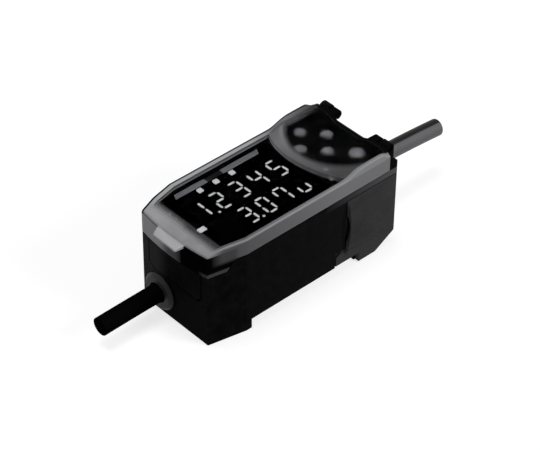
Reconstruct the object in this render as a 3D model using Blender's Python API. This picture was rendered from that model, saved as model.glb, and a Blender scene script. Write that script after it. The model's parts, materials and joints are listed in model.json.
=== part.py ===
"""A small rail-mounted proximity sensor amplifier with a hinged smoked cover over its displays and keys.

Metres, +Z up. The length runs along X with the cord end at -X, and the origin lies under the middle
of the body, at the level of the feet. Positions along the body are written as distances from its
front face, and become X at the very end, in the function place().
"""

import math

import bmesh
import bpy
from mathutils import Vector

MM = 0.001

# Housing, outside
LENGTH = 65.2 * MM
WIDTH = 30.0 * MM
FLARE_DEPTH = 2.4 * MM
FLARE_LENGTH = 11.2 * MM
FRONT_WIDTH = WIDTH - 2 * FLARE_DEPTH
REAR_CORNER = 0.8 * MM
CASE_TOP = 25.7 * MM
FRONT_CASE_TOP = 22.5 * MM
STEP_START = 5.5 * MM
STEP_END = 8.1 * MM
WALL = 1.8 * MM

# Feet and the channel that takes the rail; the feet share the length that the channel leaves
FOOT_HEIGHT = 3.0 * MM
CHANNEL_WIDTH = 38.1 * MM
FRONT_FOOT_LENGTH = 0.48 * (LENGTH - CHANNEL_WIDTH)
REAR_FOOT_LENGTH = 0.25 * (LENGTH - CHANNEL_WIDTH)
REAR_SLOPE_TOP = 5.8 * MM
REAR_SLOPE_KINK = 3.8 * MM
REAR_KINK_SETBACK = 0.9 * MM
HOOK_REACH = 1.3 * MM
HOOK_THICKNESS = 1.4 * MM
HOOK_WIDTH = 16.0 * MM

# Clearances
GAP = 0.3 * MM
REACH = 1.0 * MM

# Protective cover
COVER_WALL = 1.3 * MM
COVER_TOP_THICKNESS = 1.2 * MM
WINDOW_LEVEL = 30.9 * MM
LIP_LEVEL = 29.8 * MM
LIP_LENGTH = 4.6 * MM
COVER_EDGE_ROUND = 0.5 * MM
HUMP_RISE = 1.6 * MM
HUMP_SETBACK = 7.2 * MM
HUMP_CENTRE = LENGTH - HUMP_SETBACK
HUMP_OUTER_RADIUS = 19.4 * MM
HUMP_RAMP = 3.8 * MM
SADDLE_DEPTH = 1.6 * MM
SADDLE_SETBACK = 12.2 * MM
SADDLE_START = LENGTH - SADDLE_SETBACK
SADDLE_FLAT = 3.5 * MM
SADDLE_SIDE = 6.0 * MM
SADDLE_HALF_WIDTH = WIDTH / 2 - SADDLE_SIDE
REAR_SHOULDER_DROP = 1.6 * MM
REAR_SHOULDER_LENGTH = 3.2 * MM
REAR_SHOULDER_WIDTH = 2.6 * MM
COVER_REAR_SETBACK = 3.6 * MM
FRONT_BULGE = 1.1 * MM
TAB_WIDTH = 10.6 * MM
TAB_TIP_WIDTH = 8.4 * MM
TAB_REACH = 3.4 * MM
TAB_DROP = 1.1 * MM
TAB_TIP_THICKNESS = 0.7 * MM

# Cover hinge
HINGE_SETBACK = 1.6 * MM
HINGE_LEVEL = 30.8 * MM
EAR_RADIUS = 1.6 * MM
EAR_INSET = 2.3 * MM
EAR_WIDTH = 2.8 * MM
EAR_OUTER = WIDTH / 2 - EAR_INSET
EAR_INNER = EAR_OUTER - EAR_WIDTH
ARM_RADIUS = 1.4 * MM
ARM_WIDTH = 2.4 * MM
ARM_ROOT_INSET = 0.2 * MM
TRUNNION_RADIUS = 0.9 * MM
TRUNNION_SEGMENTS = 16

# Upper case
TOP_PLATE_LEVEL = 29.3 * MM
TOP_PLATE_THICKNESS = 1.5 * MM
UPPER_WALL = 1.0 * MM
PLATE_HALF = WIDTH / 2 - WALL - GAP - UPPER_WALL
FRONT_APRON_DEPTH = 6.0 * MM
REAR_BLOCK_TOP = 28.8 * MM
REAR_BLOCK_ROUND = 2.6 * MM
REAR_ROUND_OVERHANG = 0.05 * MM

# Display window, displays and light guides; rows are shares of the plate's half width
WINDOW_START = 4.9 * MM
WINDOW_SETBACK = 22.6 * MM
WINDOW_END = LENGTH - WINDOW_SETBACK
WINDOW_MARGIN = 3.0 * MM
WINDOW_WIDTH = WIDTH - 2 * WINDOW_MARGIN
WINDOW_THICKNESS = 0.7 * MM
DISPLAY_START = 9.6 * MM
DISPLAY_SETBACK = 23.6 * MM
DISPLAY_END = LENGTH - DISPLAY_SETBACK
DISPLAY_DEPTH = 0.72 * PLATE_HALF
DISPLAY_BASE_INSET = 0.6 * MM
DISPLAY_BASE_HEIGHT = 1.2 * MM
MAIN_ROW = 0.29 * PLATE_HALF
SUB_ROW = -0.485 * PLATE_HALF
GUIDE_ROW = 0.84 * PLATE_HALF
GUIDE_FIRST = 17.4 * MM
GUIDE_PITCH = 5.5 * MM
GUIDE_COUNT = 3
GUIDE_SIDE = 1.5 * MM
GUIDE_POST_RELIEF = 0.05 * MM
GUIDE_BAR_HEIGHT = 1.0 * MM
POWER_GUIDE_ALONG = 7.5 * MM
POWER_GUIDE_ROW = -0.176 * PLATE_HALF
POWER_GUIDE_LENGTH = 2.2 * MM
POWER_GUIDE_WIDTH = 1.4 * MM

# Keys and switches, set out from the rear; rows are shares of the plate's half width
KEY_SETBACK = 13.4 * MM
KEY_CENTRE = LENGTH - KEY_SETBACK
KEY_ROW = 0.328 * PLATE_HALF
KEY_STEP_ALONG = 4.8 * MM
KEY_STEP_ACROSS = 0.454 * PLATE_HALF
KEY_RADIUS = 0.16 * PLATE_HALF
ENTER_SETBACK = 8.2 * MM
ENTER_ALONG = LENGTH - ENTER_SETBACK
ENTER_ROW = -0.605 * PLATE_HALF
ENTER_RADIUS = 0.21 * PLATE_HALF
KEY_PROUD = 0.6 * MM
KEY_TRAVEL = 0.4 * MM
KEY_FLANGE = 0.4 * MM
KEY_FLANGE_THICKNESS = 0.7 * MM
KEY_STEM_RADIUS = 1.0 * MM
KEY_CROWN = 0.5 * MM
PRESS_CLEARANCE = 0.1 * MM
TACT_SIDE = 0.3 * PLATE_HALF
ENTER_TACT_SIDE = 0.37 * PLATE_HALF
TACT_CORNER = 0.6 * MM
TACT_HEIGHT = 1.5 * MM
PLUNGER_HEIGHT = 0.5 * MM
PLUNGER_RADIUS = 0.9 * MM
MODE_SETBACK = 19.0 * MM
MODE_ALONG = LENGTH - MODE_SETBACK
MODE_ROW = -0.555 * PLATE_HALF
MODE_TRAVEL = 3.0 * MM
THRESHOLD_SETBACK = 20.0 * MM
THRESHOLD_ALONG = LENGTH - THRESHOLD_SETBACK
THRESHOLD_ROW = -0.84 * PLATE_HALF
THRESHOLD_TRAVEL = 1.5 * MM
KNOB_LENGTH = 1.4 * MM
KNOB_WIDTH = 1.2 * MM
KNOB_PROUD = 0.5 * MM
KNOB_EDGE = 0.25 * MM
KNOB_FOOT = 0.8 * MM
KNOB_FOOT_HEIGHT = 0.6 * MM
SWITCH_BODY_HEIGHT = 3.0 * MM
SWITCH_BODY_WIDTH = 0.235 * PLATE_HALF
SWITCH_BODY_END = 1.6 * MM

# Boards
BOARD_THICKNESS = 1.2 * MM
DISPLAY_BOARD_LEVEL = 22.3 * MM
DISPLAY_BOARD_START = 4.4 * MM
MAIN_BOARD_LEVEL = 8.8 * MM
MAIN_BOARD_START = 12.4 * MM
BOARD_SETBACK = 4.8 * MM
BOARD_END = LENGTH - BOARD_SETBACK
LEDGE_WIDTH = 1.2 * MM
LEDGE_THICKNESS = 1.2 * MM

# Components on the main board; centres are (along, across)
HEADER_ALONG = 28.0 * MM
HEADER_INSET = 2.2 * MM
HEADER_LENGTH = 20.0 * MM
HEADER_WIDTH = 2.4 * MM
HEADER_HEIGHT = 2.5 * MM
HEADER_PIN_COUNT = 7
HEADER_PIN_PITCH = 2.6 * MM
HEADER_PIN_SIDE = 0.8 * MM
CHIP_CENTRE = (30.0 * MM, 1.0 * MM)
CHIP_SIDE = 12.0 * MM
CHIP_HEIGHT = 1.6 * MM
INDUCTOR_CENTRE = (43.5 * MM, 4.0 * MM)
INDUCTOR_BASE_SIDE = 7.0 * MM
INDUCTOR_BASE_HEIGHT = 1.2 * MM
INDUCTOR_CORE_RADIUS = 2.6 * MM
INDUCTOR_RIM_RADIUS = 3.3 * MM
INDUCTOR_RIM_THICKNESS = 0.8 * MM
INDUCTOR_HEIGHT = 4.4 * MM
CAN_CENTRE = (16.8 * MM, 4.5 * MM)
CAN_RADIUS = 2.9 * MM
CAN_NECK_RADIUS = 2.6 * MM
CAN_BEAD = 0.4 * MM
CAN_BEAD_LEVEL = 1.0 * MM
CAN_HEIGHT = 6.2 * MM

# Side connectors and their sliding covers
SIDE_COVER_LENGTH = 18.8 * MM
SIDE_COVER_START = LENGTH - SIDE_COVER_LENGTH
SIDE_COVER_TOP = 23.7 * MM
SIDE_COVER_THICKNESS = 1.3 * MM
SIDE_TOE_LENGTH = 3.5 * MM
SIDE_TOE_START = SIDE_COVER_START - SIDE_TOE_LENGTH
SIDE_TOE_HEIGHT = 7.6 * MM
SIDE_WALL = 1.5 * MM
FINGER_RECESS_TOP = 19.1 * MM
FINGER_RECESS_BOTTOM = 9.7 * MM
FINGER_RECESS_DEPTH = 1.2 * MM
FINGER_RECESS_FLOOR = 0.5 * MM
GUIDE_RIB_HEIGHT = 1.0 * MM
GUIDE_RIB_DEPTH = 0.5 * MM
GUIDE_RIB_LEVELS = (8.4 * MM, 21.2 * MM)
CONNECTOR_SETBACK = 14.2 * MM
CONNECTOR_START = LENGTH - CONNECTOR_SETBACK
CONNECTOR_LENGTH = 10.0 * MM
CONNECTOR_LEVEL = 11.6 * MM
CONNECTOR_HEIGHT = 6.0 * MM
CONNECTOR_DEPTH = 5.0 * MM
CONNECTOR_WALL = 0.9 * MM
CONNECTOR_RECESS = 2.6 * MM
CONTACT_COUNT = 5
CONTACT_SIDE = 0.6 * MM
CONTACT_SETBACK = 0.8 * MM

# Front end plate
END_PLATE_MARGIN = 2.6 * MM
END_PLATE_WIDTH = FRONT_WIDTH - 2 * END_PLATE_MARGIN
END_PLATE_LEVEL = 12.9 * MM
END_PLATE_CHAMFER = 1.6 * MM

# Cords and their bushings
OUTPUT_CORD_RADIUS = 2.6 * MM
OUTPUT_CORD_INSET = 7.0 * MM
OUTPUT_CORD_ROW = FRONT_WIDTH / 2 - OUTPUT_CORD_INSET
OUTPUT_CORD_LEVEL = 7.0 * MM
SENSOR_CORD_RADIUS = 2.5 * MM
SENSOR_CORD_LEVEL = 16.0 * MM
BUSH_WALL = 0.8 * MM
BUSH_FLANGE_RADIUS = 5.5 * MM
BUSH_FLANGE_THICKNESS = 1.2 * MM
BUSH_INNER_FLANGE = 1.0 * MM
BUSH_COLLAR = 0.9 * MM
BUSH_ROUND = 0.4 * MM
# Routes in millimetres from the middle of each cord's hole, on the end face
OUTPUT_CORD_ROUTE = (
    (10.8, 0.0, 0.0), (5.0, 0.0, 0.0), (-1.0, 0.0, 0.0),
    (-7.0, 0.0, -0.05), (-13.5, 0.0, -0.15), (-20.45, 0.0, -0.3),
)
SENSOR_CORD_ROUTE = (
    (-3.7, 0.0, 0.0), (1.8, 0.0, 0.0), (8.8, 0.0, -0.15),
    (16.8, 0.0, -0.6), (23.6, 0.0, -1.1), (30.3, 0.0, -1.7),
)

ROUND_SEGMENTS = 24
COVER_COLUMNS = 30
COVER_ROWS = 20
OVERALL_FRONT = -TAB_REACH
OVERALL_REAR = LENGTH + GAP + BUSH_FLANGE_THICKNESS
ORIGIN_ALONG = (OVERALL_FRONT + OVERALL_REAR) / 2


def smooth_step(value):
    """Goes from 0 to 1 with level ends as value goes from 0 to 1."""
    share = min(max(value, 0.0), 1.0)
    return share * share * (3 - 2 * share)


def half_width(along):
    """Half the housing's width: the front corners are cut back in plan."""
    share = min(max(along / FLARE_LENGTH, 0.0), 1.0)
    return (FRONT_WIDTH + (WIDTH - FRONT_WIDTH) * share) / 2


def plan_outline(margin=0.0):
    """The housing seen from above, moved inwards by margin, counter-clockwise as (along, across)."""
    flare = (WIDTH - FRONT_WIDTH) / 2 / FLARE_LENGTH
    stretch = math.sqrt(1 + flare * flare)
    side = WIDTH / 2 - margin
    front = FRONT_WIDTH / 2 + flare * margin - stretch * margin
    flare_end = FLARE_LENGTH + margin * (stretch - 1) / flare
    rear = LENGTH - margin
    corner = max(REAR_CORNER - (2 - math.sqrt(2)) * margin, 0.1 * MM)
    return [
        (margin, -front), (flare_end, -side), (rear - corner, -side), (rear, -side + corner),
        (rear, side - corner), (rear - corner, side), (flare_end, side), (margin, front),
    ]


def place(along, across, level):
    return (along - ORIGIN_ALONG, across, level)


def new_object(name, vertices, faces):
    mesh = bpy.data.meshes.new(name)
    mesh.from_pydata([place(*vertex) for vertex in vertices], [], faces)
    shape = bmesh.new()
    shape.from_mesh(mesh)
    bmesh.ops.recalc_face_normals(shape, faces=shape.faces)
    shape.to_mesh(mesh)
    shape.free()
    thing = bpy.data.objects.new(name, mesh)
    bpy.context.scene.collection.objects.link(thing)
    return thing


def loft(name, rings, strips=False):
    """Joins rings of equal point count into one closed solid.

    The ends are single flat faces, or strips of quads between the ring's two halves where they curve.
    """
    count = len(rings[0])
    vertices = [point for ring in rings for point in ring]
    faces = []
    for first in (0, len(vertices) - count):
        if strips:
            for index in range(count // 2 - 1):
                opposite = first + count - 1 - index
                faces.append([first + index, first + index + 1, opposite - 1, opposite])
        else:
            faces.append(list(range(first, first + count)))
    for row in range(len(rings) - 1):
        for index in range(count):
            following = (index + 1) % count
            here = row * count
            faces.append([here + index, here + following, here + count + following, here + count + index])
    return new_object(name, vertices, faces)


def upright_prism(name, outline, low, high):
    """Extrudes an (along, across) outline between two levels."""
    return loft(name, [[(a, b, level) for a, b in outline] for level in (low, high)])


def cross_prism(name, outline, near, far):
    """Extrudes an (along, level) outline across the body."""
    return loft(name, [[(a, row, b) for a, b in outline] for row in (near, far)])


def long_prism(name, outline, start, end):
    """Extrudes an (across, level) outline along the body."""
    return loft(name, [[(along, a, b) for a, b in outline] for along in (start, end)])


def block(name, along, across, level):
    """A box between pairs of limits."""
    outline = [(along[0], across[0]), (along[1], across[0]), (along[1], across[1]), (along[0], across[1])]
    return upright_prism(name, outline, level[0], level[1])


def centred_block(name, centre, length, width, level):
    """A box round an (along, across) centre."""
    along = (centre[0] - length / 2, centre[0] + length / 2)
    return block(name, along, (centre[1] - width / 2, centre[1] + width / 2), level)


def circle(centre_a, centre_b, radius, start=0.0, sweep=360.0, count=ROUND_SEGMENTS):
    """Points round a circle, or along an arc of it when the sweep is under a full turn."""
    steps = count if sweep >= 360.0 else count - 1
    angles = [math.radians(start + sweep * index / steps) for index in range(count)]
    return [(centre_a + radius * math.cos(angle), centre_b + radius * math.sin(angle)) for angle in angles]


def upright_turning(name, along, across, profile):
    """Turns a (radius, level) profile round an upright axis."""
    rings = [[(a, b, level) for a, b in circle(along, across, radius)] for radius, level in profile]
    return loft(name, rings)


def long_turning(name, across, level, profile):
    """Turns a (radius, along) profile round an axis that runs along the body."""
    rings = [[(along, a, b) for a, b in circle(across, level, radius)] for radius, along in profile]
    return loft(name, rings)


def boolean(target, tool, operation="DIFFERENCE"):
    tool.hide_render = True
    tool.display_type = "WIRE"
    change = target.modifiers.new(tool.name, "BOOLEAN")
    change.operation = operation
    change.object = tool
    change.solver = "EXACT"


def cut(target, tool):
    boolean(target, tool, "DIFFERENCE")


def join(target, tool):
    boolean(target, tool, "UNION")


def keep_common(target, tool):
    boolean(target, tool, "INTERSECT")


def shade_round(thing, angle=35.0):
    thing.data.shade_smooth()
    thing.data.set_sharp_from_angle(angle=math.radians(angle))


def finish(thing, name, colour, roughness=0.5, metallic=0.0, alpha=1.0):
    """Names the object and gives it its own Principled material."""
    thing.name = name
    thing.data.name = name
    material = bpy.data.materials.new(name)
    material.use_nodes = True
    shader = material.node_tree.nodes["Principled BSDF"]
    shader.inputs["Base Color"].default_value = (*colour, 1.0)
    shader.inputs["Roughness"].default_value = roughness
    shader.inputs["Metallic"].default_value = metallic
    shader.inputs["Alpha"].default_value = alpha
    thing.data.materials.append(material)
    return thing


def case_profile():
    """The lower case seen from the side, as (along, level)."""
    channel_end = FRONT_FOOT_LENGTH + CHANNEL_WIDTH
    return [
        (0.0, 0.0), (FRONT_FOOT_LENGTH, 0.0), (FRONT_FOOT_LENGTH, FOOT_HEIGHT), (channel_end, FOOT_HEIGHT),
        (channel_end, 0.0), (channel_end + REAR_FOOT_LENGTH, 0.0),
        (LENGTH - REAR_KINK_SETBACK, REAR_SLOPE_KINK), (LENGTH, REAR_SLOPE_TOP), (LENGTH, CASE_TOP),
        (STEP_END, CASE_TOP), (STEP_START, FRONT_CASE_TOP), (0.0, FRONT_CASE_TOP),
    ]


def cavity_profile():
    """The hollow of the lower case: it follows the feet at one wall's distance and is open at the top."""
    channel_end = FRONT_FOOT_LENGTH + CHANNEL_WIDTH
    rear = LENGTH - WALL
    floor = FOOT_HEIGHT + WALL
    return [
        (WALL, WALL), (FRONT_FOOT_LENGTH - WALL, WALL), (FRONT_FOOT_LENGTH - WALL, floor),
        (channel_end + WALL, floor), (channel_end + WALL, WALL),
        (channel_end + REAR_FOOT_LENGTH - WALL / 2, WALL),
        (rear, REAR_SLOPE_TOP + WALL / 2), (rear, CASE_TOP + REACH), (WALL, CASE_TOP + REACH),
    ]


def side_cover_outline():
    """The sliding side cover seen from the side: it follows the channel, the rear foot and the slope."""
    channel_end = FRONT_FOOT_LENGTH + CHANNEL_WIDTH
    return [
        (SIDE_TOE_START, FOOT_HEIGHT + GAP), (channel_end + GAP, FOOT_HEIGHT + GAP),
        (channel_end + GAP, GAP), (channel_end + REAR_FOOT_LENGTH - GAP, GAP),
        (LENGTH - REAR_KINK_SETBACK, REAR_SLOPE_KINK + GAP),
        (LENGTH, REAR_SLOPE_TOP + GAP), (LENGTH, SIDE_COVER_TOP), (SIDE_COVER_START, SIDE_COVER_TOP),
        (SIDE_COVER_START, SIDE_TOE_HEIGHT), (SIDE_TOE_START, SIDE_TOE_HEIGHT),
    ]


def side_pocket_outline():
    """The pocket for the side cover: open at the rear and below, one gap wider in front and above."""
    start = SIDE_COVER_START - GAP
    toe = SIDE_TOE_START - GAP
    rear = LENGTH + REACH
    return [
        (toe, -REACH), (rear, -REACH), (rear, SIDE_COVER_TOP + GAP), (start, SIDE_COVER_TOP + GAP),
        (start, SIDE_TOE_HEIGHT + GAP), (toe, SIDE_TOE_HEIGHT + GAP),
    ]


def thick_wall_top():
    """The walls behind the side covers are thicker up to this level."""
    return SIDE_COVER_TOP + 2 * GAP


def make_lower_case():
    """Moulded tub with the rail feet, the cord hole, the end plate's opening and the side pockets."""
    side = WIDTH / 2
    case = cross_prism("case_blank", case_profile(), -side - REACH, side + REACH)
    keep_common(case, upright_prism("case_plan", plan_outline(), -REACH, CASE_TOP + REACH))

    hollow = cross_prism("case_hollow", cavity_profile(), -side - REACH, side + REACH)
    keep_common(hollow, upright_prism("case_hollow_plan", plan_outline(WALL), 0.0, CASE_TOP + 2 * REACH))
    thick_wall = SIDE_COVER_THICKNESS + GAP + SIDE_WALL
    for sign in (-1, 1):
        rows = sorted((sign * (side - thick_wall), sign * (side + 2 * REACH)))
        thick_along = (SIDE_TOE_START - WALL, LENGTH + REACH)
        cut(hollow, block("thick_wall", thick_along, rows, (-REACH, thick_wall_top())))
        ledge_rows = sorted((sign * (side - thick_wall - LEDGE_WIDTH), sign * (side + 2 * REACH)))
        ledge_along = (MAIN_BOARD_START + REACH, BOARD_END - REACH)
        for level in (MAIN_BOARD_LEVEL - GAP, DISPLAY_BOARD_LEVEL - GAP):
            cut(hollow, block("board_ledge", ledge_along, ledge_rows, (level - LEDGE_THICKNESS, level)))
    cut(case, hollow)

    half_plate = END_PLATE_WIDTH / 2 + GAP
    plate_low = END_PLATE_LEVEL - GAP
    opening = [
        (-half_plate, plate_low + END_PLATE_CHAMFER), (-half_plate + END_PLATE_CHAMFER, plate_low),
        (half_plate - END_PLATE_CHAMFER, plate_low), (half_plate, plate_low + END_PLATE_CHAMFER),
        (half_plate, CASE_TOP), (-half_plate, CASE_TOP),
    ]
    cut(case, long_prism("end_plate_opening", opening, -REACH, WALL + REACH))

    bush_radius = OUTPUT_CORD_RADIUS + GAP + BUSH_WALL + GAP
    hole = long_turning("output_bush_hole", OUTPUT_CORD_ROW, OUTPUT_CORD_LEVEL,
                        [(bush_radius, -REACH), (bush_radius, WALL + REACH)])
    cut(case, hole)
    bush_radius = SENSOR_CORD_RADIUS + GAP + BUSH_WALL + GAP
    hole = long_turning("sensor_bush_hole", 0.0, SENSOR_CORD_LEVEL,
                        [(bush_radius, LENGTH - WALL - REACH), (bush_radius, LENGTH + REACH)])
    cut(case, hole)

    pocket_floor = side - SIDE_COVER_THICKNESS - GAP
    for sign in (-1, 1):
        rows = sorted((sign * pocket_floor, sign * (side + REACH)))
        cut(case, cross_prism("side_pocket", side_pocket_outline(), rows[0], rows[1]))
        groove_rows = sorted((sign * (pocket_floor - GUIDE_RIB_DEPTH - GAP), sign * (side + REACH)))
        for level in GUIDE_RIB_LEVELS:
            groove_level = (level - GAP, level + GUIDE_RIB_HEIGHT + GAP)
            groove_along = (SIDE_COVER_START + REACH - GAP, LENGTH + REACH)
            cut(case, block("guide_groove", groove_along, groove_rows, groove_level))
        socket_rows = sorted((sign * (side - thick_wall - REACH), sign * (side + REACH)))
        socket_along = (CONNECTOR_START - GAP, CONNECTOR_START + CONNECTOR_LENGTH + GAP)
        socket_level = (CONNECTOR_LEVEL - GAP, CONNECTOR_LEVEL + CONNECTOR_HEIGHT + GAP)
        cut(case, block("connector_opening", socket_along, socket_rows, socket_level))

    for start, end in (
        (FRONT_FOOT_LENGTH - WALL / 2, FRONT_FOOT_LENGTH + HOOK_REACH),
        (FRONT_FOOT_LENGTH + CHANNEL_WIDTH - HOOK_REACH, FRONT_FOOT_LENGTH + CHANNEL_WIDTH + WALL / 2),
    ):
        hook = block("rail_hook", (start, end), (-HOOK_WIDTH / 2, HOOK_WIDTH / 2), (0.0, HOOK_THICKNESS))
        join(case, hook)
    return finish(case, "lower_case", (0.016, 0.016, 0.017), 0.55)


def upper_outline(rear_start):
    """The lid from above: inside the cover's skirts in front, and as wide as the case at the rear."""
    front = [point for point in plan_outline(COVER_WALL + GAP) if point[0] < rear_start]
    rear = [point for point in plan_outline() if point[0] > rear_start]
    step = WIDTH / 2 - COVER_WALL - GAP
    near = front[:2] + [(rear_start, -step), (rear_start, -WIDTH / 2)] + rear[:2]
    return near + rear[2:] + [(rear_start, WIDTH / 2), (rear_start, step)] + front[2:]


def upper_side_profile(rear_start):
    """The lid from the side: under the cover's lip in front, flat, then the lower rounded rear block."""
    lip_slope = (WINDOW_LEVEL - LIP_LEVEL) / LIP_LENGTH
    under_lip = LIP_LEVEL - COVER_TOP_THICKNESS - GAP
    round_along = LENGTH - REAR_BLOCK_ROUND + REAR_ROUND_OVERHANG
    round_level = REAR_BLOCK_TOP - REAR_BLOCK_ROUND
    rear = circle(round_along, round_level, REAR_BLOCK_ROUND, 0.0, 90.0, 7)
    return [(-REACH, 0.0), (rear[0][0], 0.0)] + rear + [
        (rear_start, REAR_BLOCK_TOP), (rear_start, WINDOW_LEVEL), (LIP_LENGTH, WINDOW_LEVEL),
        (LIP_LENGTH, under_lip + lip_slope * LIP_LENGTH), (-REACH, under_lip - lip_slope * REACH),
    ]


def make_upper_case():
    """Moulded lid of the housing: plate for displays and keys, rear block and the two hinge ears."""
    lip_inset = WALL + GAP
    lower_edge = CASE_TOP + GAP
    rear_start = LENGTH - COVER_REAR_SETBACK + GAP
    case = upright_prism("upper_blank", upper_outline(rear_start), lower_edge, TOP_PLATE_LEVEL)
    keep_common(case, cross_prism("upper_trim", upper_side_profile(rear_start), -WIDTH, WIDTH))

    apron_low = CASE_TOP - FRONT_APRON_DEPTH
    skirt = upright_prism("upper_skirt", plan_outline(lip_inset), apron_low, lower_edge + GAP)
    relief_level = (apron_low - REACH, thick_wall_top() + GAP)
    cut(skirt, block("skirt_relief", (STEP_END + REACH, LENGTH), (-WIDTH, WIDTH), relief_level))
    join(case, skirt)

    plate_under = TOP_PLATE_LEVEL - TOP_PLATE_THICKNESS
    hollow_plan = plan_outline(lip_inset + UPPER_WALL)
    cut(case, upright_prism("upper_hollow", hollow_plan, apron_low - REACH, plate_under))

    hinge_along = LENGTH - HINGE_SETBACK
    for sign in (-1, 1):
        rows = sorted((sign * EAR_INNER, sign * EAR_OUTER))
        ear_profile = circle(hinge_along, HINGE_LEVEL, EAR_RADIUS, 0.0, 180.0, 13)
        ear_profile.append((hinge_along - EAR_RADIUS, REAR_BLOCK_TOP - REACH))
        ear_profile.append((hinge_along + EAR_RADIUS, lower_edge + REACH))
        join(case, cross_prism("hinge_ear", ear_profile, rows[0], rows[1]))
        bore = circle(hinge_along, HINGE_LEVEL, TRUNNION_RADIUS + GAP, count=TRUNNION_SEGMENTS)
        cut(case, cross_prism("trunnion_bore", bore, rows[0] - REACH, rows[1] + REACH))

    seat_level = (window_seat_level(), TOP_PLATE_LEVEL + REACH)
    cut(case, upright_prism("window_seat", window_outline(GAP), *seat_level))
    through = (plate_under - REACH, TOP_PLATE_LEVEL + REACH)
    display_along = (DISPLAY_START - GAP, DISPLAY_END + GAP)
    display_rows = (SUB_ROW - DISPLAY_DEPTH / 2 - GAP, MAIN_ROW + DISPLAY_DEPTH / 2 + GAP)
    cut(case, block("display_opening", display_along, display_rows, through))
    reach = GUIDE_SIDE + 2 * GAP
    for index in range(GUIDE_COUNT):
        centre = (GUIDE_FIRST + index * GUIDE_PITCH, GUIDE_ROW)
        cut(case, centred_block("guide_opening", centre, reach, reach, through))
    centre = (POWER_GUIDE_ALONG, POWER_GUIDE_ROW)
    length = POWER_GUIDE_LENGTH + 2 * GAP
    cut(case, centred_block("power_opening", centre, length, POWER_GUIDE_WIDTH + 2 * GAP, through))

    for along, row, radius, name in key_places():
        cut(case, upright_turning("hole_" + name, along, row, [(radius + GAP, level) for level in through]))
    for along, row, travel, name in switch_places():
        slot_along = (along - KNOB_LENGTH / 2 - GAP, along + KNOB_LENGTH / 2 + travel + GAP)
        slot_rows = (row - KNOB_WIDTH / 2 - GAP, row + KNOB_WIDTH / 2 + GAP)
        cut(case, block("slot_" + name, slot_along, slot_rows, through))
    shade_round(case)
    return finish(case, "upper_case", (0.013, 0.013, 0.014), 0.5)


def window_outline(margin):
    """The display window from above; its front corners follow the housing, and margin grows it."""
    half = WINDOW_WIDTH / 2 + margin
    front = WINDOW_START - margin
    front_half = min(half, half_width(WINDOW_START) - COVER_WALL - 2 * GAP - UPPER_WALL + margin)
    corner_end = WINDOW_START + FLARE_LENGTH / 2
    rear = WINDOW_END + margin
    return [
        (front, -front_half), (corner_end, -half), (rear, -half),
        (rear, half), (corner_end, half), (front, front_half),
    ]


def window_seat_level():
    """The ledge under the display window, which the displays and light guides come up to."""
    return TOP_PLATE_LEVEL - WINDOW_THICKNESS - GAP


def key_places():
    """Each key as (along, across, cap radius, name)."""
    return [
        (KEY_CENTRE - KEY_STEP_ALONG, KEY_ROW, KEY_RADIUS, "left"),
        (KEY_CENTRE + KEY_STEP_ALONG, KEY_ROW, KEY_RADIUS, "right"),
        (KEY_CENTRE, KEY_ROW + KEY_STEP_ACROSS, KEY_RADIUS, "up"),
        (KEY_CENTRE, KEY_ROW - KEY_STEP_ACROSS, KEY_RADIUS, "down"),
        (ENTER_ALONG, ENTER_ROW, ENTER_RADIUS, "enter"),
    ]


def switch_places():
    """Each slide switch as (along, across, travel, name)."""
    return [
        (MODE_ALONG, MODE_ROW, MODE_TRAVEL, "mode"),
        (THRESHOLD_ALONG, THRESHOLD_ROW, THRESHOLD_TRAVEL, "threshold"),
    ]


def cover_level(along, across):
    """Height of the cover's outer surface."""
    level = LIP_LEVEL + (WINDOW_LEVEL - LIP_LEVEL) * min(along / LIP_LENGTH, 1.0)
    radius = math.hypot(along - HUMP_CENTRE, across)
    level += HUMP_RISE * smooth_step((HUMP_OUTER_RADIUS - radius) / HUMP_RAMP)
    rear = LENGTH - COVER_REAR_SETBACK
    along_saddle = smooth_step((along - SADDLE_START) / (rear - SADDLE_START))
    across_saddle = 1 - smooth_step((abs(across) - SADDLE_FLAT) / (SADDLE_HALF_WIDTH - SADDLE_FLAT))
    level -= SADDLE_DEPTH * along_saddle * across_saddle
    along_shoulder = smooth_step((along - rear + REAR_SHOULDER_LENGTH) / REAR_SHOULDER_LENGTH)
    across_shoulder = smooth_step((abs(across) - WIDTH / 2 + REAR_SHOULDER_WIDTH) / REAR_SHOULDER_WIDTH)
    return level - REAR_SHOULDER_DROP * along_shoulder * across_shoulder


def skirt_edge(along):
    """Height of the skirt's lower edge: deep at the front, with a slanting step up to the sides."""
    share = (along - STEP_START) / (STEP_END - STEP_START)
    return GAP + FRONT_CASE_TOP + (CASE_TOP - FRONT_CASE_TOP) * min(max(share, 0.0), 1.0)


def round_drop(distance):
    """How far a rounded edge lies below the surface at a distance in from the side."""
    short = max(0.0, COVER_EDGE_ROUND - distance)
    return COVER_EDGE_ROUND - math.sqrt(max(0.0, COVER_EDGE_ROUND ** 2 - short ** 2))


def cover_stations():
    """Where the cover's cross-sections lie along the body."""
    rear = LENGTH - COVER_REAR_SETBACK
    ramp_start = HUMP_CENTRE - HUMP_OUTER_RADIUS
    stations = [0.0, 0.3 * COVER_EDGE_ROUND, COVER_EDGE_ROUND, LIP_LENGTH]
    stations += [STEP_START, STEP_END, FLARE_LENGTH, ramp_start]
    spacing = (rear - ramp_start) / COVER_ROWS
    stations += [ramp_start + spacing * (index + 1) for index in range(COVER_ROWS)]
    return stations


def bulged(along, across, level):
    """Pushes the cover's front forward in the middle, fading out at the end of the lip."""
    share = 1 - (across / half_width(along)) ** 2
    fade = max(0.0, 1 - along / LIP_LENGTH)
    return (along - FRONT_BULGE * share * fade, across, level)


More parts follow.
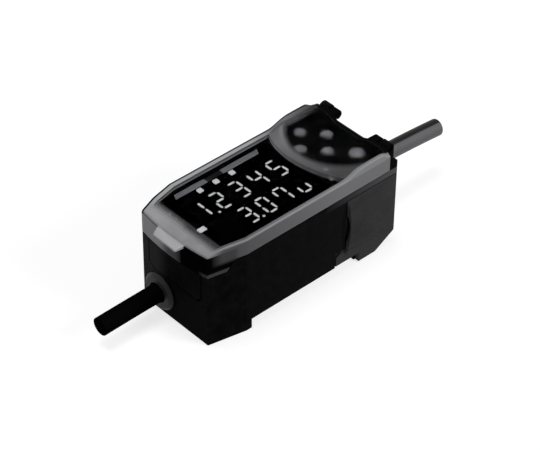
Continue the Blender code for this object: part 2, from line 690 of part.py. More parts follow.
def cover_ring(along, half, low, top_edge):
    """A cross-section of the cover's block: straight below, and the surface top_edge gives above."""
    rows = [-half + 2 * half * column / COVER_COLUMNS for column in range(COVER_COLUMNS + 1)]
    below = [bulged(along, row, low) for row in reversed(rows)]
    above = [bulged(along, row, top_edge(row)) for row in rows]
    return below + above


def make_cover():
    """Smoked cover: one moulding with its skirts, finger tab, hinge arms and trunnions."""
    rear = LENGTH - COVER_REAR_SETBACK
    outer = []
    for along in cover_stations():
        half = half_width(along)
        front_drop = round_drop(along)

        def surface(row):
            return cover_level(along, row) - front_drop - round_drop(half - abs(row))

        outer.append(cover_ring(along, half, skirt_edge(along), surface))
    cover = loft("cover_outer", outer, strips=True)

    inner = []
    stations = [along for along in cover_stations() if along > LIP_LENGTH / 2]
    for along in [COVER_WALL] + stations + [rear + REACH]:
        def surface(row):
            return cover_level(along, row) - COVER_TOP_THICKNESS

        inner.append(cover_ring(along, half_width(along) - COVER_WALL, FRONT_CASE_TOP - REACH, surface))
    cut(cover, loft("cover_hollow", inner, strips=True))

    tab_top = LIP_LEVEL + 0.15 * COVER_EDGE_ROUND
    tab = loft("cover_tab", [
        tab_ring(-TAB_REACH, TAB_TIP_WIDTH, tab_top - TAB_DROP, TAB_TIP_THICKNESS),
        tab_ring(COVER_WALL / 2 - FRONT_BULGE, TAB_WIDTH, tab_top, COVER_TOP_THICKNESS),
    ])
    join(cover, tab)

    hinge_along = LENGTH - HINGE_SETBACK
    for sign in (-1, 1):
        arm_outer = sign * (EAR_INNER - GAP)
        arm_inner = sign * (EAR_INNER - GAP - ARM_WIDTH)
        arm_profile = circle(hinge_along, HINGE_LEVEL, ARM_RADIUS, -90.0, 180.0, 13)
        root = rear - REACH
        root_level = cover_level(root, arm_outer)
        arm_profile.append((root, root_level - ARM_ROOT_INSET))
        arm_profile.append((root, root_level - COVER_TOP_THICKNESS + ARM_ROOT_INSET))
        rows = sorted((arm_inner, arm_outer))
        join(cover, cross_prism("hinge_arm", arm_profile, rows[0], rows[1]))
        rows = sorted((sign * (EAR_INNER - GAP - ARM_WIDTH / 2), sign * (EAR_OUTER - GAP)))
        trunnion = circle(hinge_along, HINGE_LEVEL, TRUNNION_RADIUS, count=TRUNNION_SEGMENTS)
        join(cover, cross_prism("trunnion", trunnion, rows[0], rows[1]))
    shade_round(cover)
    return finish(cover, "protective_cover", (0.16, 0.16, 0.17), 0.12, alpha=0.55)


def tab_ring(along, width, top, thickness):
    """One end of the finger tab, which carries the slope of the lip on and grows thinner."""
    half = width / 2
    low = top - thickness
    return [(along, -half, low), (along, half, low), (along, half, top), (along, -half, top)]


def make_window():
    low = TOP_PLATE_LEVEL - WINDOW_THICKNESS
    window = upright_prism("window", window_outline(0.0), low, TOP_PLATE_LEVEL)
    return finish(window, "display_window", (0.02, 0.02, 0.02), 0.06, alpha=0.5)


def make_display(name, row):
    """A five-digit module: the face plate stands on a narrower potted body."""
    low = DISPLAY_BOARD_LEVEL + BOARD_THICKNESS + GAP
    high = window_seat_level()
    shoulder = low + DISPLAY_BASE_HEIGHT
    face = DISPLAY_DEPTH / 2
    base = face - DISPLAY_BASE_INSET
    profile = [
        (row - base, low), (row + base, low), (row + base, shoulder), (row + face, shoulder),
        (row + face, high), (row - face, high), (row - face, shoulder), (row - base, shoulder),
    ]
    module = long_prism("display", profile, DISPLAY_START, DISPLAY_END)
    return finish(module, name, (0.03, 0.03, 0.03), 0.4)


def make_guides():
    """Two light guides: a comb with three posts for the outputs, and a single post for power."""
    low = DISPLAY_BOARD_LEVEL + BOARD_THICKNESS + GAP
    half = GUIDE_SIDE / 2
    bar_top = low + GUIDE_BAR_HEIGHT
    bar_along = (GUIDE_FIRST - half, GUIDE_FIRST + (GUIDE_COUNT - 1) * GUIDE_PITCH + half)
    comb = block("guide_bar", bar_along, (GUIDE_ROW - half, GUIDE_ROW + half), (low, bar_top))
    side = half - GUIDE_POST_RELIEF
    post_rows = (GUIDE_ROW - side, GUIDE_ROW + side)
    for index in range(GUIDE_COUNT):
        centre = GUIDE_FIRST + index * GUIDE_PITCH
        post_level = (low + GUIDE_BAR_HEIGHT / 2, window_seat_level())
        join(comb, block("guide_post", (centre - side, centre + side), post_rows, post_level))
    finish(comb, "output_light_guide", (0.8, 0.8, 0.78), 0.2)
    centre = (POWER_GUIDE_ALONG, POWER_GUIDE_ROW)
    level = (low, window_seat_level())
    power = centred_block("power_guide", centre, POWER_GUIDE_LENGTH, POWER_GUIDE_WIDTH, level)
    finish(power, "power_light_guide", (0.8, 0.8, 0.78), 0.2)


def make_keys():
    """Key caps with a flange under the plate, each above its tact switch."""
    plate_under = TOP_PLATE_LEVEL - TOP_PLATE_THICKNESS
    switch_top = DISPLAY_BOARD_LEVEL + BOARD_THICKNESS + GAP + TACT_HEIGHT
    for along, row, radius, name in key_places():
        flange_top = plate_under - GAP
        flange_low = flange_top - KEY_FLANGE_THICKNESS
        stem_low = switch_top + KEY_TRAVEL + PRESS_CLEARANCE
        profile = [
            (KEY_STEM_RADIUS, stem_low), (KEY_STEM_RADIUS, flange_low), (radius + KEY_FLANGE, flange_low),
            (radius + KEY_FLANGE, flange_top), (radius, flange_top),
        ]
        shoulder = TOP_PLATE_LEVEL + KEY_PROUD - KEY_CROWN
        for angle in (0.0, 30.0, 60.0, 85.0):
            inward = KEY_CROWN * (1 - math.cos(math.radians(angle)))
            profile.append((radius - inward, shoulder + KEY_CROWN * math.sin(math.radians(angle))))
        cap = upright_turning("key", along, row, profile)
        shade_round(cap)
        finish(cap, "key_" + name, (0.42, 0.43, 0.45), 0.45)
        side = ENTER_TACT_SIDE if name == "enter" else TACT_SIDE
        make_tact_switch(along, row, side, name)


def make_tact_switch(along, row, side, name):
    """A tact switch with clipped corners and a round plunger, on the display board."""
    low = DISPLAY_BOARD_LEVEL + BOARD_THICKNESS + GAP
    high = low + TACT_HEIGHT
    half = side / 2
    short = half - TACT_CORNER
    outline = [
        (along - short, row - half), (along + short, row - half), (along + half, row - short),
        (along + half, row + short), (along + short, row + half), (along - short, row + half),
        (along - half, row + short), (along - half, row - short),
    ]
    switch = upright_prism("tact", outline, low, high - PLUNGER_HEIGHT)
    plunger = [(PLUNGER_RADIUS, low + PLUNGER_HEIGHT), (PLUNGER_RADIUS, high)]
    join(switch, upright_turning("tact_plunger", along, row, plunger))
    finish(switch, "tact_switch_" + name, (0.35, 0.35, 0.36), 0.4, metallic=0.6)


def make_switches():
    """Two slide switches: a body on the board, and a knob that comes up through a slot."""
    body_low = DISPLAY_BOARD_LEVEL + BOARD_THICKNESS + GAP
    body_top = body_low + SWITCH_BODY_HEIGHT
    low = body_top + GAP
    foot_top = low + KNOB_FOOT_HEIGHT
    top = TOP_PLATE_LEVEL + KNOB_PROUD
    half = KNOB_LENGTH / 2
    foot = half + KNOB_FOOT
    for along, row, travel, name in switch_places():
        profile = [
            (along - foot, low), (along + foot, low), (along + foot, foot_top), (along + half, foot_top),
            (along + half, top - KNOB_EDGE), (along + half - KNOB_EDGE, top),
            (along - half + KNOB_EDGE, top), (along - half, top - KNOB_EDGE),
            (along - half, foot_top), (along - foot, foot_top),
        ]
        knob = cross_prism("knob", profile, row - KNOB_WIDTH / 2, row + KNOB_WIDTH / 2)
        finish(knob, name + "_switch_knob", (0.75, 0.75, 0.73), 0.4)
        body_along = (along - half - SWITCH_BODY_END, along + half + travel + SWITCH_BODY_END)
        body_rows = (row - SWITCH_BODY_WIDTH / 2, row + SWITCH_BODY_WIDTH / 2)
        body = block("switch_body", body_along, body_rows, (body_low, body_top))
        finish(body, name + "_switch_body", (0.05, 0.05, 0.05), 0.5)


def board_half_width():
    """The boards lie one gap inside the thick walls behind the side covers."""
    return WIDTH / 2 - SIDE_COVER_THICKNESS - GAP - SIDE_WALL - GAP


def make_boards():
    """The display board under the plate, and the main board above the channel."""
    half = board_half_width()
    front_half = half_width(DISPLAY_BOARD_START) - WALL - GAP - UPPER_WALL - GAP
    outline = [
        (DISPLAY_BOARD_START, -front_half), (FLARE_LENGTH, -half), (BOARD_END, -half),
        (BOARD_END, half), (FLARE_LENGTH, half), (DISPLAY_BOARD_START, front_half),
    ]
    board_top = DISPLAY_BOARD_LEVEL + BOARD_THICKNESS
    board = upright_prism("board", outline, DISPLAY_BOARD_LEVEL, board_top)
    finish(board, "display_board", (0.02, 0.11, 0.05), 0.45)
    level = (MAIN_BOARD_LEVEL, MAIN_BOARD_LEVEL + BOARD_THICKNESS)
    main = block("main", (MAIN_BOARD_START, BOARD_END), (-half, half), level)
    finish(main, "main_board", (0.02, 0.11, 0.05), 0.45)


def make_board_connector():
    """A pin header that joins the main board to the display board."""
    low = MAIN_BOARD_LEVEL + BOARD_THICKNESS + GAP
    centre = (HEADER_ALONG, HEADER_INSET - board_half_width())
    header = centred_block("header", centre, HEADER_LENGTH, HEADER_WIDTH, (low, low + HEADER_HEIGHT))
    pin_level = (low + HEADER_HEIGHT / 2, DISPLAY_BOARD_LEVEL - GAP)
    for index in range(HEADER_PIN_COUNT):
        offset = (index - (HEADER_PIN_COUNT - 1) / 2) * HEADER_PIN_PITCH
        pin = (centre[0] + offset, centre[1])
        join(header, centred_block("header_pin", pin, HEADER_PIN_SIDE, HEADER_PIN_SIDE, pin_level))
    finish(header, "board_connector", (0.03, 0.03, 0.03), 0.5)


def make_components():
    """The largest components on the main board: processor, power inductor and supply capacitor."""
    low = MAIN_BOARD_LEVEL + BOARD_THICKNESS + GAP
    chip = centred_block("chip", CHIP_CENTRE, CHIP_SIDE, CHIP_SIDE, (low, low + CHIP_HEIGHT))
    finish(chip, "processor", (0.02, 0.02, 0.02), 0.5)

    side = INDUCTOR_BASE_SIDE
    inductor = centred_block("inductor", INDUCTOR_CENTRE, side, side, (low, low + INDUCTOR_BASE_HEIGHT))
    rim_low = low + INDUCTOR_HEIGHT - INDUCTOR_RIM_THICKNESS
    drum_profile = [
        (INDUCTOR_CORE_RADIUS, low + INDUCTOR_BASE_HEIGHT / 2), (INDUCTOR_CORE_RADIUS, rim_low),
        (INDUCTOR_RIM_RADIUS, rim_low), (INDUCTOR_RIM_RADIUS, low + INDUCTOR_HEIGHT),
    ]
    join(inductor, upright_turning("inductor_drum", *INDUCTOR_CENTRE, drum_profile))
    finish(inductor, "power_inductor", (0.06, 0.06, 0.065), 0.6)

    bead = low + CAN_BEAD_LEVEL
    can = upright_turning("can", *CAN_CENTRE, [
        (CAN_RADIUS, low), (CAN_RADIUS, bead), (CAN_NECK_RADIUS, bead + CAN_BEAD),
        (CAN_RADIUS, bead + 2 * CAN_BEAD), (CAN_RADIUS, low + CAN_HEIGHT - CAN_BEAD),
        (CAN_NECK_RADIUS, low + CAN_HEIGHT),
    ])
    shade_round(can)
    finish(can, "supply_capacitor", (0.5, 0.5, 0.52), 0.3, metallic=0.9)


def make_side_connectors():
    """The expansion plug and socket, one behind each sliding cover."""
    face = WIDTH / 2 - SIDE_COVER_THICKNESS - 2 * GAP
    level = (CONNECTOR_LEVEL, CONNECTOR_LEVEL + CONNECTOR_HEIGHT)
    along = (CONNECTOR_START, CONNECTOR_START + CONNECTOR_LENGTH)
    recess_along = (along[0] + CONNECTOR_WALL, along[1] - CONNECTOR_WALL)
    recess_level = (level[0] + CONNECTOR_WALL, level[1] - CONNECTOR_WALL)
    pitch = (recess_along[1] - recess_along[0]) / CONTACT_COUNT
    half = CONTACT_SIDE / 2
    contact_level = ((level[0] + level[1]) / 2 - half, (level[0] + level[1]) / 2 + half)
    for sign, name in ((-1, "near_side_connector"), (1, "far_side_connector")):
        rows = sorted((sign * face, sign * (face - CONNECTOR_DEPTH)))
        shell = block("shell", along, rows, level)
        recess_rows = sorted((sign * (face + REACH), sign * (face - CONNECTOR_RECESS)))
        cut(shell, block("shell_recess", recess_along, recess_rows, recess_level))
        contact_root = face - CONNECTOR_RECESS - CONTACT_SIDE
        contact_rows = sorted((sign * (face - CONTACT_SETBACK), sign * contact_root))
        for index in range(CONTACT_COUNT):
            centre = recess_along[0] + pitch * (index + 0.5)
            join(shell, block("contact", (centre - half, centre + half), contact_rows, contact_level))
        finish(shell, name, (0.6, 0.58, 0.52), 0.4)


def make_side_covers():
    """Sliding covers of the side connectors, each with a finger recess and two guide ribs."""
    side = WIDTH / 2
    middle = (FINGER_RECESS_TOP + FINGER_RECESS_BOTTOM) / 2
    half_length = (FINGER_RECESS_TOP - FINGER_RECESS_BOTTOM) / 2
    radius = (half_length ** 2 + FINGER_RECESS_DEPTH ** 2) / (2 * FINGER_RECESS_DEPTH)
    centre = SIDE_COVER_START + FINGER_RECESS_DEPTH - radius
    inner = side - SIDE_COVER_THICKNESS
    for sign, name in ((-1, "near_connector_cover"), (1, "far_connector_cover")):
        rows = sorted((sign * side, sign * inner))
        panel = cross_prism("panel", side_cover_outline(), rows[0], rows[1])
        keep_common(panel, upright_prism("panel_plan", plan_outline(), -REACH, CASE_TOP))
        recess_rows = sorted((sign * (side + REACH), sign * (inner + FINGER_RECESS_FLOOR)))
        recess = circle(centre, middle, radius, count=4 * ROUND_SEGMENTS)
        cut(panel, cross_prism("finger_recess", recess, recess_rows[0], recess_rows[1]))
        rib_rows = sorted((sign * (inner + FINGER_RECESS_FLOOR), sign * (inner - GAP - GUIDE_RIB_DEPTH)))
        rib_along = (SIDE_COVER_START + REACH, LENGTH - REACH)
        for level in GUIDE_RIB_LEVELS:
            join(panel, block("guide_rib", rib_along, rib_rows, (level, level + GUIDE_RIB_HEIGHT)))
        finish(panel, name, (0.03, 0.03, 0.032), 0.42)


def make_end_plate():
    """Insert that closes the front wall above the output cord."""
    half = END_PLATE_WIDTH / 2
    top = FRONT_CASE_TOP - GAP
    outline = [
        (-half, END_PLATE_LEVEL + END_PLATE_CHAMFER), (-half + END_PLATE_CHAMFER, END_PLATE_LEVEL),
        (half - END_PLATE_CHAMFER, END_PLATE_LEVEL), (half, END_PLATE_LEVEL + END_PLATE_CHAMFER),
        (half, top), (-half, top),
    ]
    plate = long_prism("plate", outline, 0.0, WALL)
    finish(plate, "front_end_plate", (0.016, 0.016, 0.017), 0.55)


def make_bushing(name, hole, cord_radius, sign):
    """A rubber bush through the end wall; sign is -1 at the front and 1 at the rear."""
    face, row, level = hole
    bore = cord_radius + GAP
    tube = bore + BUSH_WALL
    outside = face + sign * GAP
    inside = face - sign * (WALL + GAP)
    lip = outside + sign * BUSH_FLANGE_THICKNESS
    end = inside - sign * BUSH_INNER_FLANGE
    profile = [
        (bore, lip), (tube + BUSH_COLLAR, lip), (BUSH_FLANGE_RADIUS - BUSH_ROUND, lip - sign * BUSH_ROUND),
        (BUSH_FLANGE_RADIUS, outside + sign * BUSH_ROUND), (BUSH_FLANGE_RADIUS, outside), (tube, outside),
        (tube, inside), (tube + BUSH_INNER_FLANGE, inside), (tube + BUSH_INNER_FLANGE, end), (bore, end),
    ]
    rings = [[(along, a, b) for a, b in circle(row, level, radius)] for radius, along in profile]
    vertices = [point for ring in rings for point in ring]
    faces = []
    for ring in range(len(rings)):
        here = ring * ROUND_SEGMENTS
        there = (ring + 1) % len(rings) * ROUND_SEGMENTS
        for index in range(ROUND_SEGMENTS):
            following = (index + 1) % ROUND_SEGMENTS
            faces.append([here + index, here + following, there + following, there + index])
    bush = new_object("bush", vertices, faces)
    shade_round(bush)
    finish(bush, name, (0.02, 0.02, 0.02), 0.7)


def smooth_route(points, spacing):
    """Reads a Catmull-Rom curve through the points at about even steps."""
    knots = [Vector(points[0]) * 2 - Vector(points[1])] + [Vector(point) for point in points]
    knots.append(Vector(points[-1]) * 2 - Vector(points[-2]))
    route = []
    for index in range(1, len(knots) - 2):
        before, start, end, after = knots[index - 1:index + 3]
        steps = max(1, round((end - start).length / spacing))
        for step in range(steps):
            t = step / steps
            bend = (2 * before - 5 * start + 4 * end - after) * t ** 2
            twist = (3 * start - before - 3 * end + after) * t ** 3
            route.append((2 * start + (end - before) * t + bend + twist) / 2)
    route.append(Vector(points[-1]))
    return route


def make_cord(name, hole, points, radius, colour):
    """A round jacketed cord along a smooth route from its hole, with flat cut ends."""
    route = smooth_route([Vector(hole) + Vector(point) * MM for point in points], 4 * radius)
    curve = bpy.data.curves.new(name, "CURVE")
    curve.dimensions = "3D"
    curve.bevel_depth = radius
    curve.bevel_resolution = 3
    curve.use_fill_caps = True
    spline = curve.splines.new("POLY")
    spline.points.add(len(route) - 1)
    for point, position in zip(spline.points, route):
        point.co = (*place(*position), 1.0)
    cord = bpy.data.objects.new(name, curve)
    bpy.context.scene.collection.objects.link(cord)
    finish(cord, name, colour, 0.6)


def build():
    for thing in list(bpy.data.objects):
        bpy.data.objects.remove(thing, do_unlink=True)
    make_lower_case()
    make_upper_case()
    make_cover()
    make_window()
    make_display("main_display", MAIN_ROW)
    make_display("sub_display", SUB_ROW)
    make_guides()
    make_keys()
    make_switches()
    make_boards()
    make_board_connector()
    make_components()
    make_side_connectors()
    make_side_covers()
    make_end_plate()
    output_hole = (0.0, OUTPUT_CORD_ROW, OUTPUT_CORD_LEVEL)
    sensor_hole = (LENGTH, 0.0, SENSOR_CORD_LEVEL)
    make_bushing("output_cord_bushing", output_hole, OUTPUT_CORD_RADIUS, -1)
    make_bushing("sensor_cord_bushing", sensor_hole, SENSOR_CORD_RADIUS, 1)
    make_cord("output_cord", output_hole, OUTPUT_CORD_ROUTE, OUTPUT_CORD_RADIUS, (0.015, 0.015, 0.015))
    make_cord("sensor_cord", sensor_hole, SENSOR_CORD_ROUTE, SENSOR_CORD_RADIUS, (0.08, 0.08, 0.085))


build()
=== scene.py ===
"""Looks of a small rail-mounted proximity sensor amplifier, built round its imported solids."""

import json
import math

import bmesh
import bpy
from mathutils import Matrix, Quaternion, Vector

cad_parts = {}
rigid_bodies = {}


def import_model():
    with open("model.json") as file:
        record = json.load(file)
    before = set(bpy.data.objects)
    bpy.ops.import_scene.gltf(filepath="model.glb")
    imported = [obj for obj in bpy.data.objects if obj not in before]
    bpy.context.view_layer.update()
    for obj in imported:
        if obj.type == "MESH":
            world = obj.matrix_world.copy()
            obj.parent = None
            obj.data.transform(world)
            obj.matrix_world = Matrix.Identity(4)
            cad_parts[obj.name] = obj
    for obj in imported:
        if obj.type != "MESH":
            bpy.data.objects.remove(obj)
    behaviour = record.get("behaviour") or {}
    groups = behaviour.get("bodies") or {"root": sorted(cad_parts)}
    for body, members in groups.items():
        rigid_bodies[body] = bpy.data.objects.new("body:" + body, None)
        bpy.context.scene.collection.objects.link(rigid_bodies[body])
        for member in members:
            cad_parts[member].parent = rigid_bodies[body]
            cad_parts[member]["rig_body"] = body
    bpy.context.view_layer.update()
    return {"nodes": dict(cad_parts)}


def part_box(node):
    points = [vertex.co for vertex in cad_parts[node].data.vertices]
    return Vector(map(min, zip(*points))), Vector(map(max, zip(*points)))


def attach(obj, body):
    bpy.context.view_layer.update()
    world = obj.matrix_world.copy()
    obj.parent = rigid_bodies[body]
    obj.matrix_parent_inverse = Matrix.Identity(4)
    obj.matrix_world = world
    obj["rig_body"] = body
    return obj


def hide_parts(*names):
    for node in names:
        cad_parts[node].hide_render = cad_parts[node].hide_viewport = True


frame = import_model()


# Camera. It looks down at the cord end and the near side from far off with a long lens, as for a
# catalogue picture, and leans over by two thirds of a degree.
MM = 0.001
case_low, case_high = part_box("lower_case")
front_face = case_low.x
LENS = 147.7
SENSOR_WIDTH = 36.0
CAMERA_AIM = Vector((front_face + 31.3 * MM, -1.7 * MM, 16.0 * MM))
CAMERA_AZIMUTH = math.radians(-42.9)
CAMERA_ELEVATION = math.radians(40.2)
CAMERA_DISTANCE = 579.7 * MM
CAMERA_ROLL = math.radians(0.67)

camera_data = bpy.data.cameras.new("camera")
camera_data.lens = LENS
camera_data.sensor_width = SENSOR_WIDTH
camera = bpy.data.objects.new("camera", camera_data)
bpy.context.scene.collection.objects.link(camera)
toward_camera = Vector((
    math.sin(CAMERA_AZIMUTH) * math.cos(CAMERA_ELEVATION),
    -math.cos(CAMERA_AZIMUTH) * math.cos(CAMERA_ELEVATION),
    math.sin(CAMERA_ELEVATION),
))
camera.location = CAMERA_AIM + CAMERA_DISTANCE * toward_camera
camera.rotation_mode = "QUATERNION"
camera.rotation_quaternion = (-toward_camera).to_track_quat("-Z", "Y") @ Quaternion((0, 0, 1), CAMERA_ROLL)
bpy.context.scene.camera = camera


# Cords. Two short round lengths with cut ends: the output cord has a matt black vinyl jacket, and
# the sensor cord a grey one, with painted shade along its upper far side. Extrusion leaves faint lines on a
# jacket.
OUTPUT_DIAMETER = 5.2 * MM
SENSOR_DIAMETER = 5.0 * MM
OUTPUT_ROUTE = (
    (10.8, 5.6, 7.0), (5.0, 5.6, 7.0), (-1.0, 5.6, 7.0),
    (-7.0, 5.6, 6.95), (-13.5, 5.6, 6.85), (-20.45, 5.6, 6.7),
)
SENSOR_ROUTE = (
    (61.5, 0.0, 16.0), (67.0, 0.0, 16.0), (74.0, 0.0, 15.85),
    (82.0, 0.0, 15.4), (88.8, 0.0, 14.9), (95.5, 0.0, 14.3),
)
ROUTE_STEP = MM
CORD_ROUND_STEPS = 10
VINYL_IOR = 1.53
LINE_WIDTH = 0.5 * MM
LINE_DEPTH = 0.05 * MM
LINE_STRETCH = (0.05, 1.0, 1.0)
LINE_STRENGTH = 0.25
HANDLING_WIDTH = 6 * MM
HANDLING_SHINE = (-0.06, 0.08)


def linear(code):
    """Turns an sRGB hex colour such as 1a2b3c into linear red, green, blue and alpha."""
    parts = [int(code[index:index + 2], 16) / 255 for index in (0, 2, 4)]
    return [part / 12.92 if part <= 0.04045 else ((part + 0.055) / 1.055) ** 2.4 for part in parts] + [1.0]


def give(tree, node, inputs):
    """Gives inputs of a node their values or links: a list from the first one on, or by name or number."""
    by_key = inputs if isinstance(inputs, dict) else dict(enumerate(inputs))
    for key, value in by_key.items():
        if isinstance(value, bpy.types.NodeSocket):
            tree.links.new(value, node.inputs[key])
        else:
            node.inputs[key].default_value = value


def add(tree, kind, inputs=(), output=None, **settings):
    """Adds a shader node with its settings and inputs: returns the named output, or the first in use."""
    node = tree.nodes.new("ShaderNode" + kind)
    for key, value in settings.items():
        setattr(node, key, value)
    give(tree, node, inputs)
    return node.outputs[output] if output else next(socket for socket in node.outputs if socket.enabled)


def new_material(name):
    """A material with its node tree and its Principled shader."""
    material = bpy.data.materials.new(name)
    material.use_nodes = True
    return material, material.node_tree, material.node_tree.nodes["Principled BSDF"]


def at(along, across, level):
    """A point given in millimetres from the front face, the middle and the floor."""
    return Vector((front_face + along * MM, across * MM, level * MM))


def smooth_route(points):
    """A Catmull-Rom curve through the points, read at about every millimetre."""
    knots = [points[0] * 2 - points[1]] + points + [points[-1] * 2 - points[-2]]
    route = []
    for index in range(1, len(knots) - 2):
        before, start, end, after = knots[index - 1:index + 3]
        steps = max(1, round((end - start).length / ROUTE_STEP))
        for step in range(steps):
            t = step / steps
            bend = (2 * before - 5 * start + 4 * end - after) * t ** 2
            twist = (3 * start - before - 3 * end + after) * t ** 3
            route.append((2 * start + (end - before) * t + bend + twist) / 2)
    return route + [points[-1]]


def jacket(name, code, light_code, roughness, gloss):
    """Extruded vinyl: an even skin with faint lines along the cord and a little handling shine."""
    material, tree, shader = new_material(name)
    place = add(tree, "TexCoord", output="Object")
    stretched = add(tree, "Mapping", {"Vector": place, "Scale": LINE_STRETCH})
    lines = add(tree, "TexNoise", {"Vector": stretched, "Scale": 1 / LINE_WIDTH, "Detail": 2.0})
    cloud = add(tree, "TexNoise", {"Vector": place, "Scale": 1 / HANDLING_WIDTH, "Detail": 3.0})
    low_shine, high_shine = (roughness + change for change in HANDLING_SHINE)
    give(tree, shader, {
        "Base Color": add(tree, "Mix", {0: cloud, 6: linear(code), 7: linear(light_code)}, data_type="RGBA"),
        "Roughness": add(tree, "MapRange", {0: cloud, 3: low_shine, 4: high_shine}),
        "Normal": add(tree, "Bump", {"Height": lines, "Strength": LINE_STRENGTH, "Distance": LINE_DEPTH}),
        "IOR": VINYL_IOR,
        "Specular IOR Level": gloss,
    })
    return material


def make_cord(name, node, points, diameter, material):
    """A free cord along its route from inside its bush to its cut end."""
    route = smooth_route([at(*point) for point in points])
    curve = bpy.data.curves.new(name, "CURVE")
    curve.dimensions = "3D"
    curve.bevel_depth = diameter / 2
    curve.bevel_resolution = CORD_ROUND_STEPS
    curve.use_fill_caps = True
    spline = curve.splines.new("POLY")
    spline.points.add(len(route) - 1)
    for point, position in zip(spline.points, route):
        point.co = (*position, 1.0)
    cord = bpy.data.objects.new(name, curve)
    bpy.context.scene.collection.objects.link(cord)
    curve.materials.append(material)
    length = sum((after - before).length for before, after in zip(route, route[1:]))
    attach(cord, "housing")
    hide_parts(node)
    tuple(route[0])


def repaint(material, share, code):
    """Gives a material another colour where share is 1."""
    tree = material.node_tree
    shader = tree.nodes["Principled BSDF"]
    tone = shader.inputs["Base Color"].links[0].from_socket
    mixed = add(tree, "Mix", {0: share, 6: tone, 7: linear(code)}, data_type="RGBA")
    tree.links.new(mixed, shader.inputs["Base Color"])


SHADED_SIDE = Vector((0.0, 0.72, 0.69))
SHADE_FACING_EDGE = (0.2, 0.45)
black_vinyl = jacket("extruded_black_vinyl", "040404", "090909", 0.55, 0.0)
grey_vinyl = jacket("extruded_grey_vinyl", "545456", "626264", 0.42, 0.1)
# Painted shade: the side of the jacket that faces up and to the far side is drawn dark, where it lies in
# shade.
tree = grey_vinyl.node_tree
normal = add(tree, "NewGeometry", output="Normal")
facing = add(tree, "VectorMath", [normal, SHADED_SIDE], operation="DOT_PRODUCT")
painted_top_shade = add(tree, "MapRange", [facing, *SHADE_FACING_EDGE], interpolation_type="SMOOTHSTEP")
repaint(grey_vinyl, painted_top_shade, "0a0a0a")
make_cord("output_cord_jacket", "output_cord", OUTPUT_ROUTE, OUTPUT_DIAMETER, black_vinyl)
make_cord("sensor_cord_jacket", "sensor_cord", SENSOR_ROUTE, SENSOR_DIAMETER, grey_vinyl)


# Housing. The lower tub, the upper lid and the front insert are injection moulded in black ABS from
# spark-eroded moulds, which leaves a fine dull grain on the outside and small rounds on the edges.
CASE_EDGE_ROUND = 0.25 * MM
SAME_POINT = 0.002 * MM
FLAT_LIMIT = math.radians(1.0)
EDGE_LIMIT = math.radians(28.0)
BEVEL_SEGMENTS = 2
PLASTIC_IOR = 1.53
GRAIN_STRENGTH = 0.6
TONE_DRIFT = (0.12, 0.42)
SHINE_DRIFT = 0.07
body_length = case_high.x - case_low.x


def soften(node, width, name):
    """A copy of a solid with its sharp edges rounded, which stands for it and moves with its body."""
    source = frame["nodes"][node]
    mesh = source.data.copy()
    shape = bmesh.new()
    shape.from_mesh(mesh)
    bmesh.ops.remove_doubles(shape, verts=shape.verts, dist=SAME_POINT)
    bmesh.ops.dissolve_limit(shape, angle_limit=FLAT_LIMIT, verts=shape.verts, edges=shape.edges)
    shape.to_mesh(mesh)
    shape.free()
    piece = bpy.data.objects.new(name, mesh)
    bpy.context.scene.collection.objects.link(piece)
    bevel = piece.modifiers.new("edge round", "BEVEL")
    bevel.width = width
    bevel.segments = BEVEL_SEGMENTS
    bevel.limit_method = "ANGLE"
    bevel.angle_limit = EDGE_LIMIT
    mesh.shade_smooth()
    mesh.set_sharp_from_angle(angle=EDGE_LIMIT)
    mesh.materials.clear()
    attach(piece, source["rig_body"])
    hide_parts(node)
    return piece


def moulded(name, code, light_code, roughness, grain, depth, ior=PLASTIC_IOR, gloss=0.5, patch=9 * MM):
    """Moulded plastic: a grain of that size and depth, and a drift in tone and shine in patches."""
    material, tree, shader = new_material(name)
    place = add(tree, "TexCoord", output="Object")
    fine = add(tree, "TexNoise", {"Vector": place, "Scale": 1 / grain, "Detail": 3.0, "Roughness": 0.6})
    cloud = add(tree, "TexNoise", {"Vector": place, "Scale": 1 / patch, "Detail": 4.0})
    blend = add(tree, "Math", [fine, cloud], operation="MULTIPLY")
    share = add(tree, "MapRange", [blend, *TONE_DRIFT])
    low_shine, high_shine = roughness - SHINE_DRIFT, roughness + SHINE_DRIFT
    give(tree, shader, {
        "Base Color": add(tree, "Mix", {0: share, 6: linear(code), 7: linear(light_code)}, data_type="RGBA"),
        "Roughness": add(tree, "MapRange", {0: cloud, 3: low_shine, 4: high_shine}),
        "Normal": add(tree, "Bump", {"Height": fine, "Strength": GRAIN_STRENGTH, "Distance": depth}),
        "IOR": ior,
        "Specular IOR Level": gloss,
    })
    return material


def place_parts(tree):
    """The three world coordinates of the point being shaded, as every mesh is built in place."""
    place = add(tree, "TexCoord", output="Object")
    return add(tree, "SeparateXYZ", [place]).node.outputs


def within(tree, limits, smooth=False):
    """A share that is 1 inside all limits: each is a share, or a measure with the ends of its fade."""
    curve = "SMOOTHSTEP" if smooth else "LINEAR"
    product = None
    for limit in limits:
        ready = isinstance(limit, bpy.types.NodeSocket)
        share = limit if ready else add(tree, "MapRange", limit, interpolation_type=curve)
        product = share if product is None else add(tree, "Math", [product, share], operation="MULTIPLY")
    return product


RECESS_ALONG = front_face + 46.4 * MM
RECESS_LEVEL = 14.2 * MM
RECESS_HALF_LENGTH = 1.8 * MM
RECESS_HALF_HEIGHT = 9.0 * MM
RECESS_EDGE = (0.8, 1.05, 1.0, 0.0)
FRONT_WALL = (front_face + 0.8 * MM, front_face + 1.6 * MM, 1.0, 0.0)
FRONT_FAR_PART = (2.0 * MM, 8.0 * MM)
RIM_LEVEL = (23.8 * MM, 24.0 * MM)
RIM_LIGHTENING = (front_face + 38 * MM, front_face + body_length)


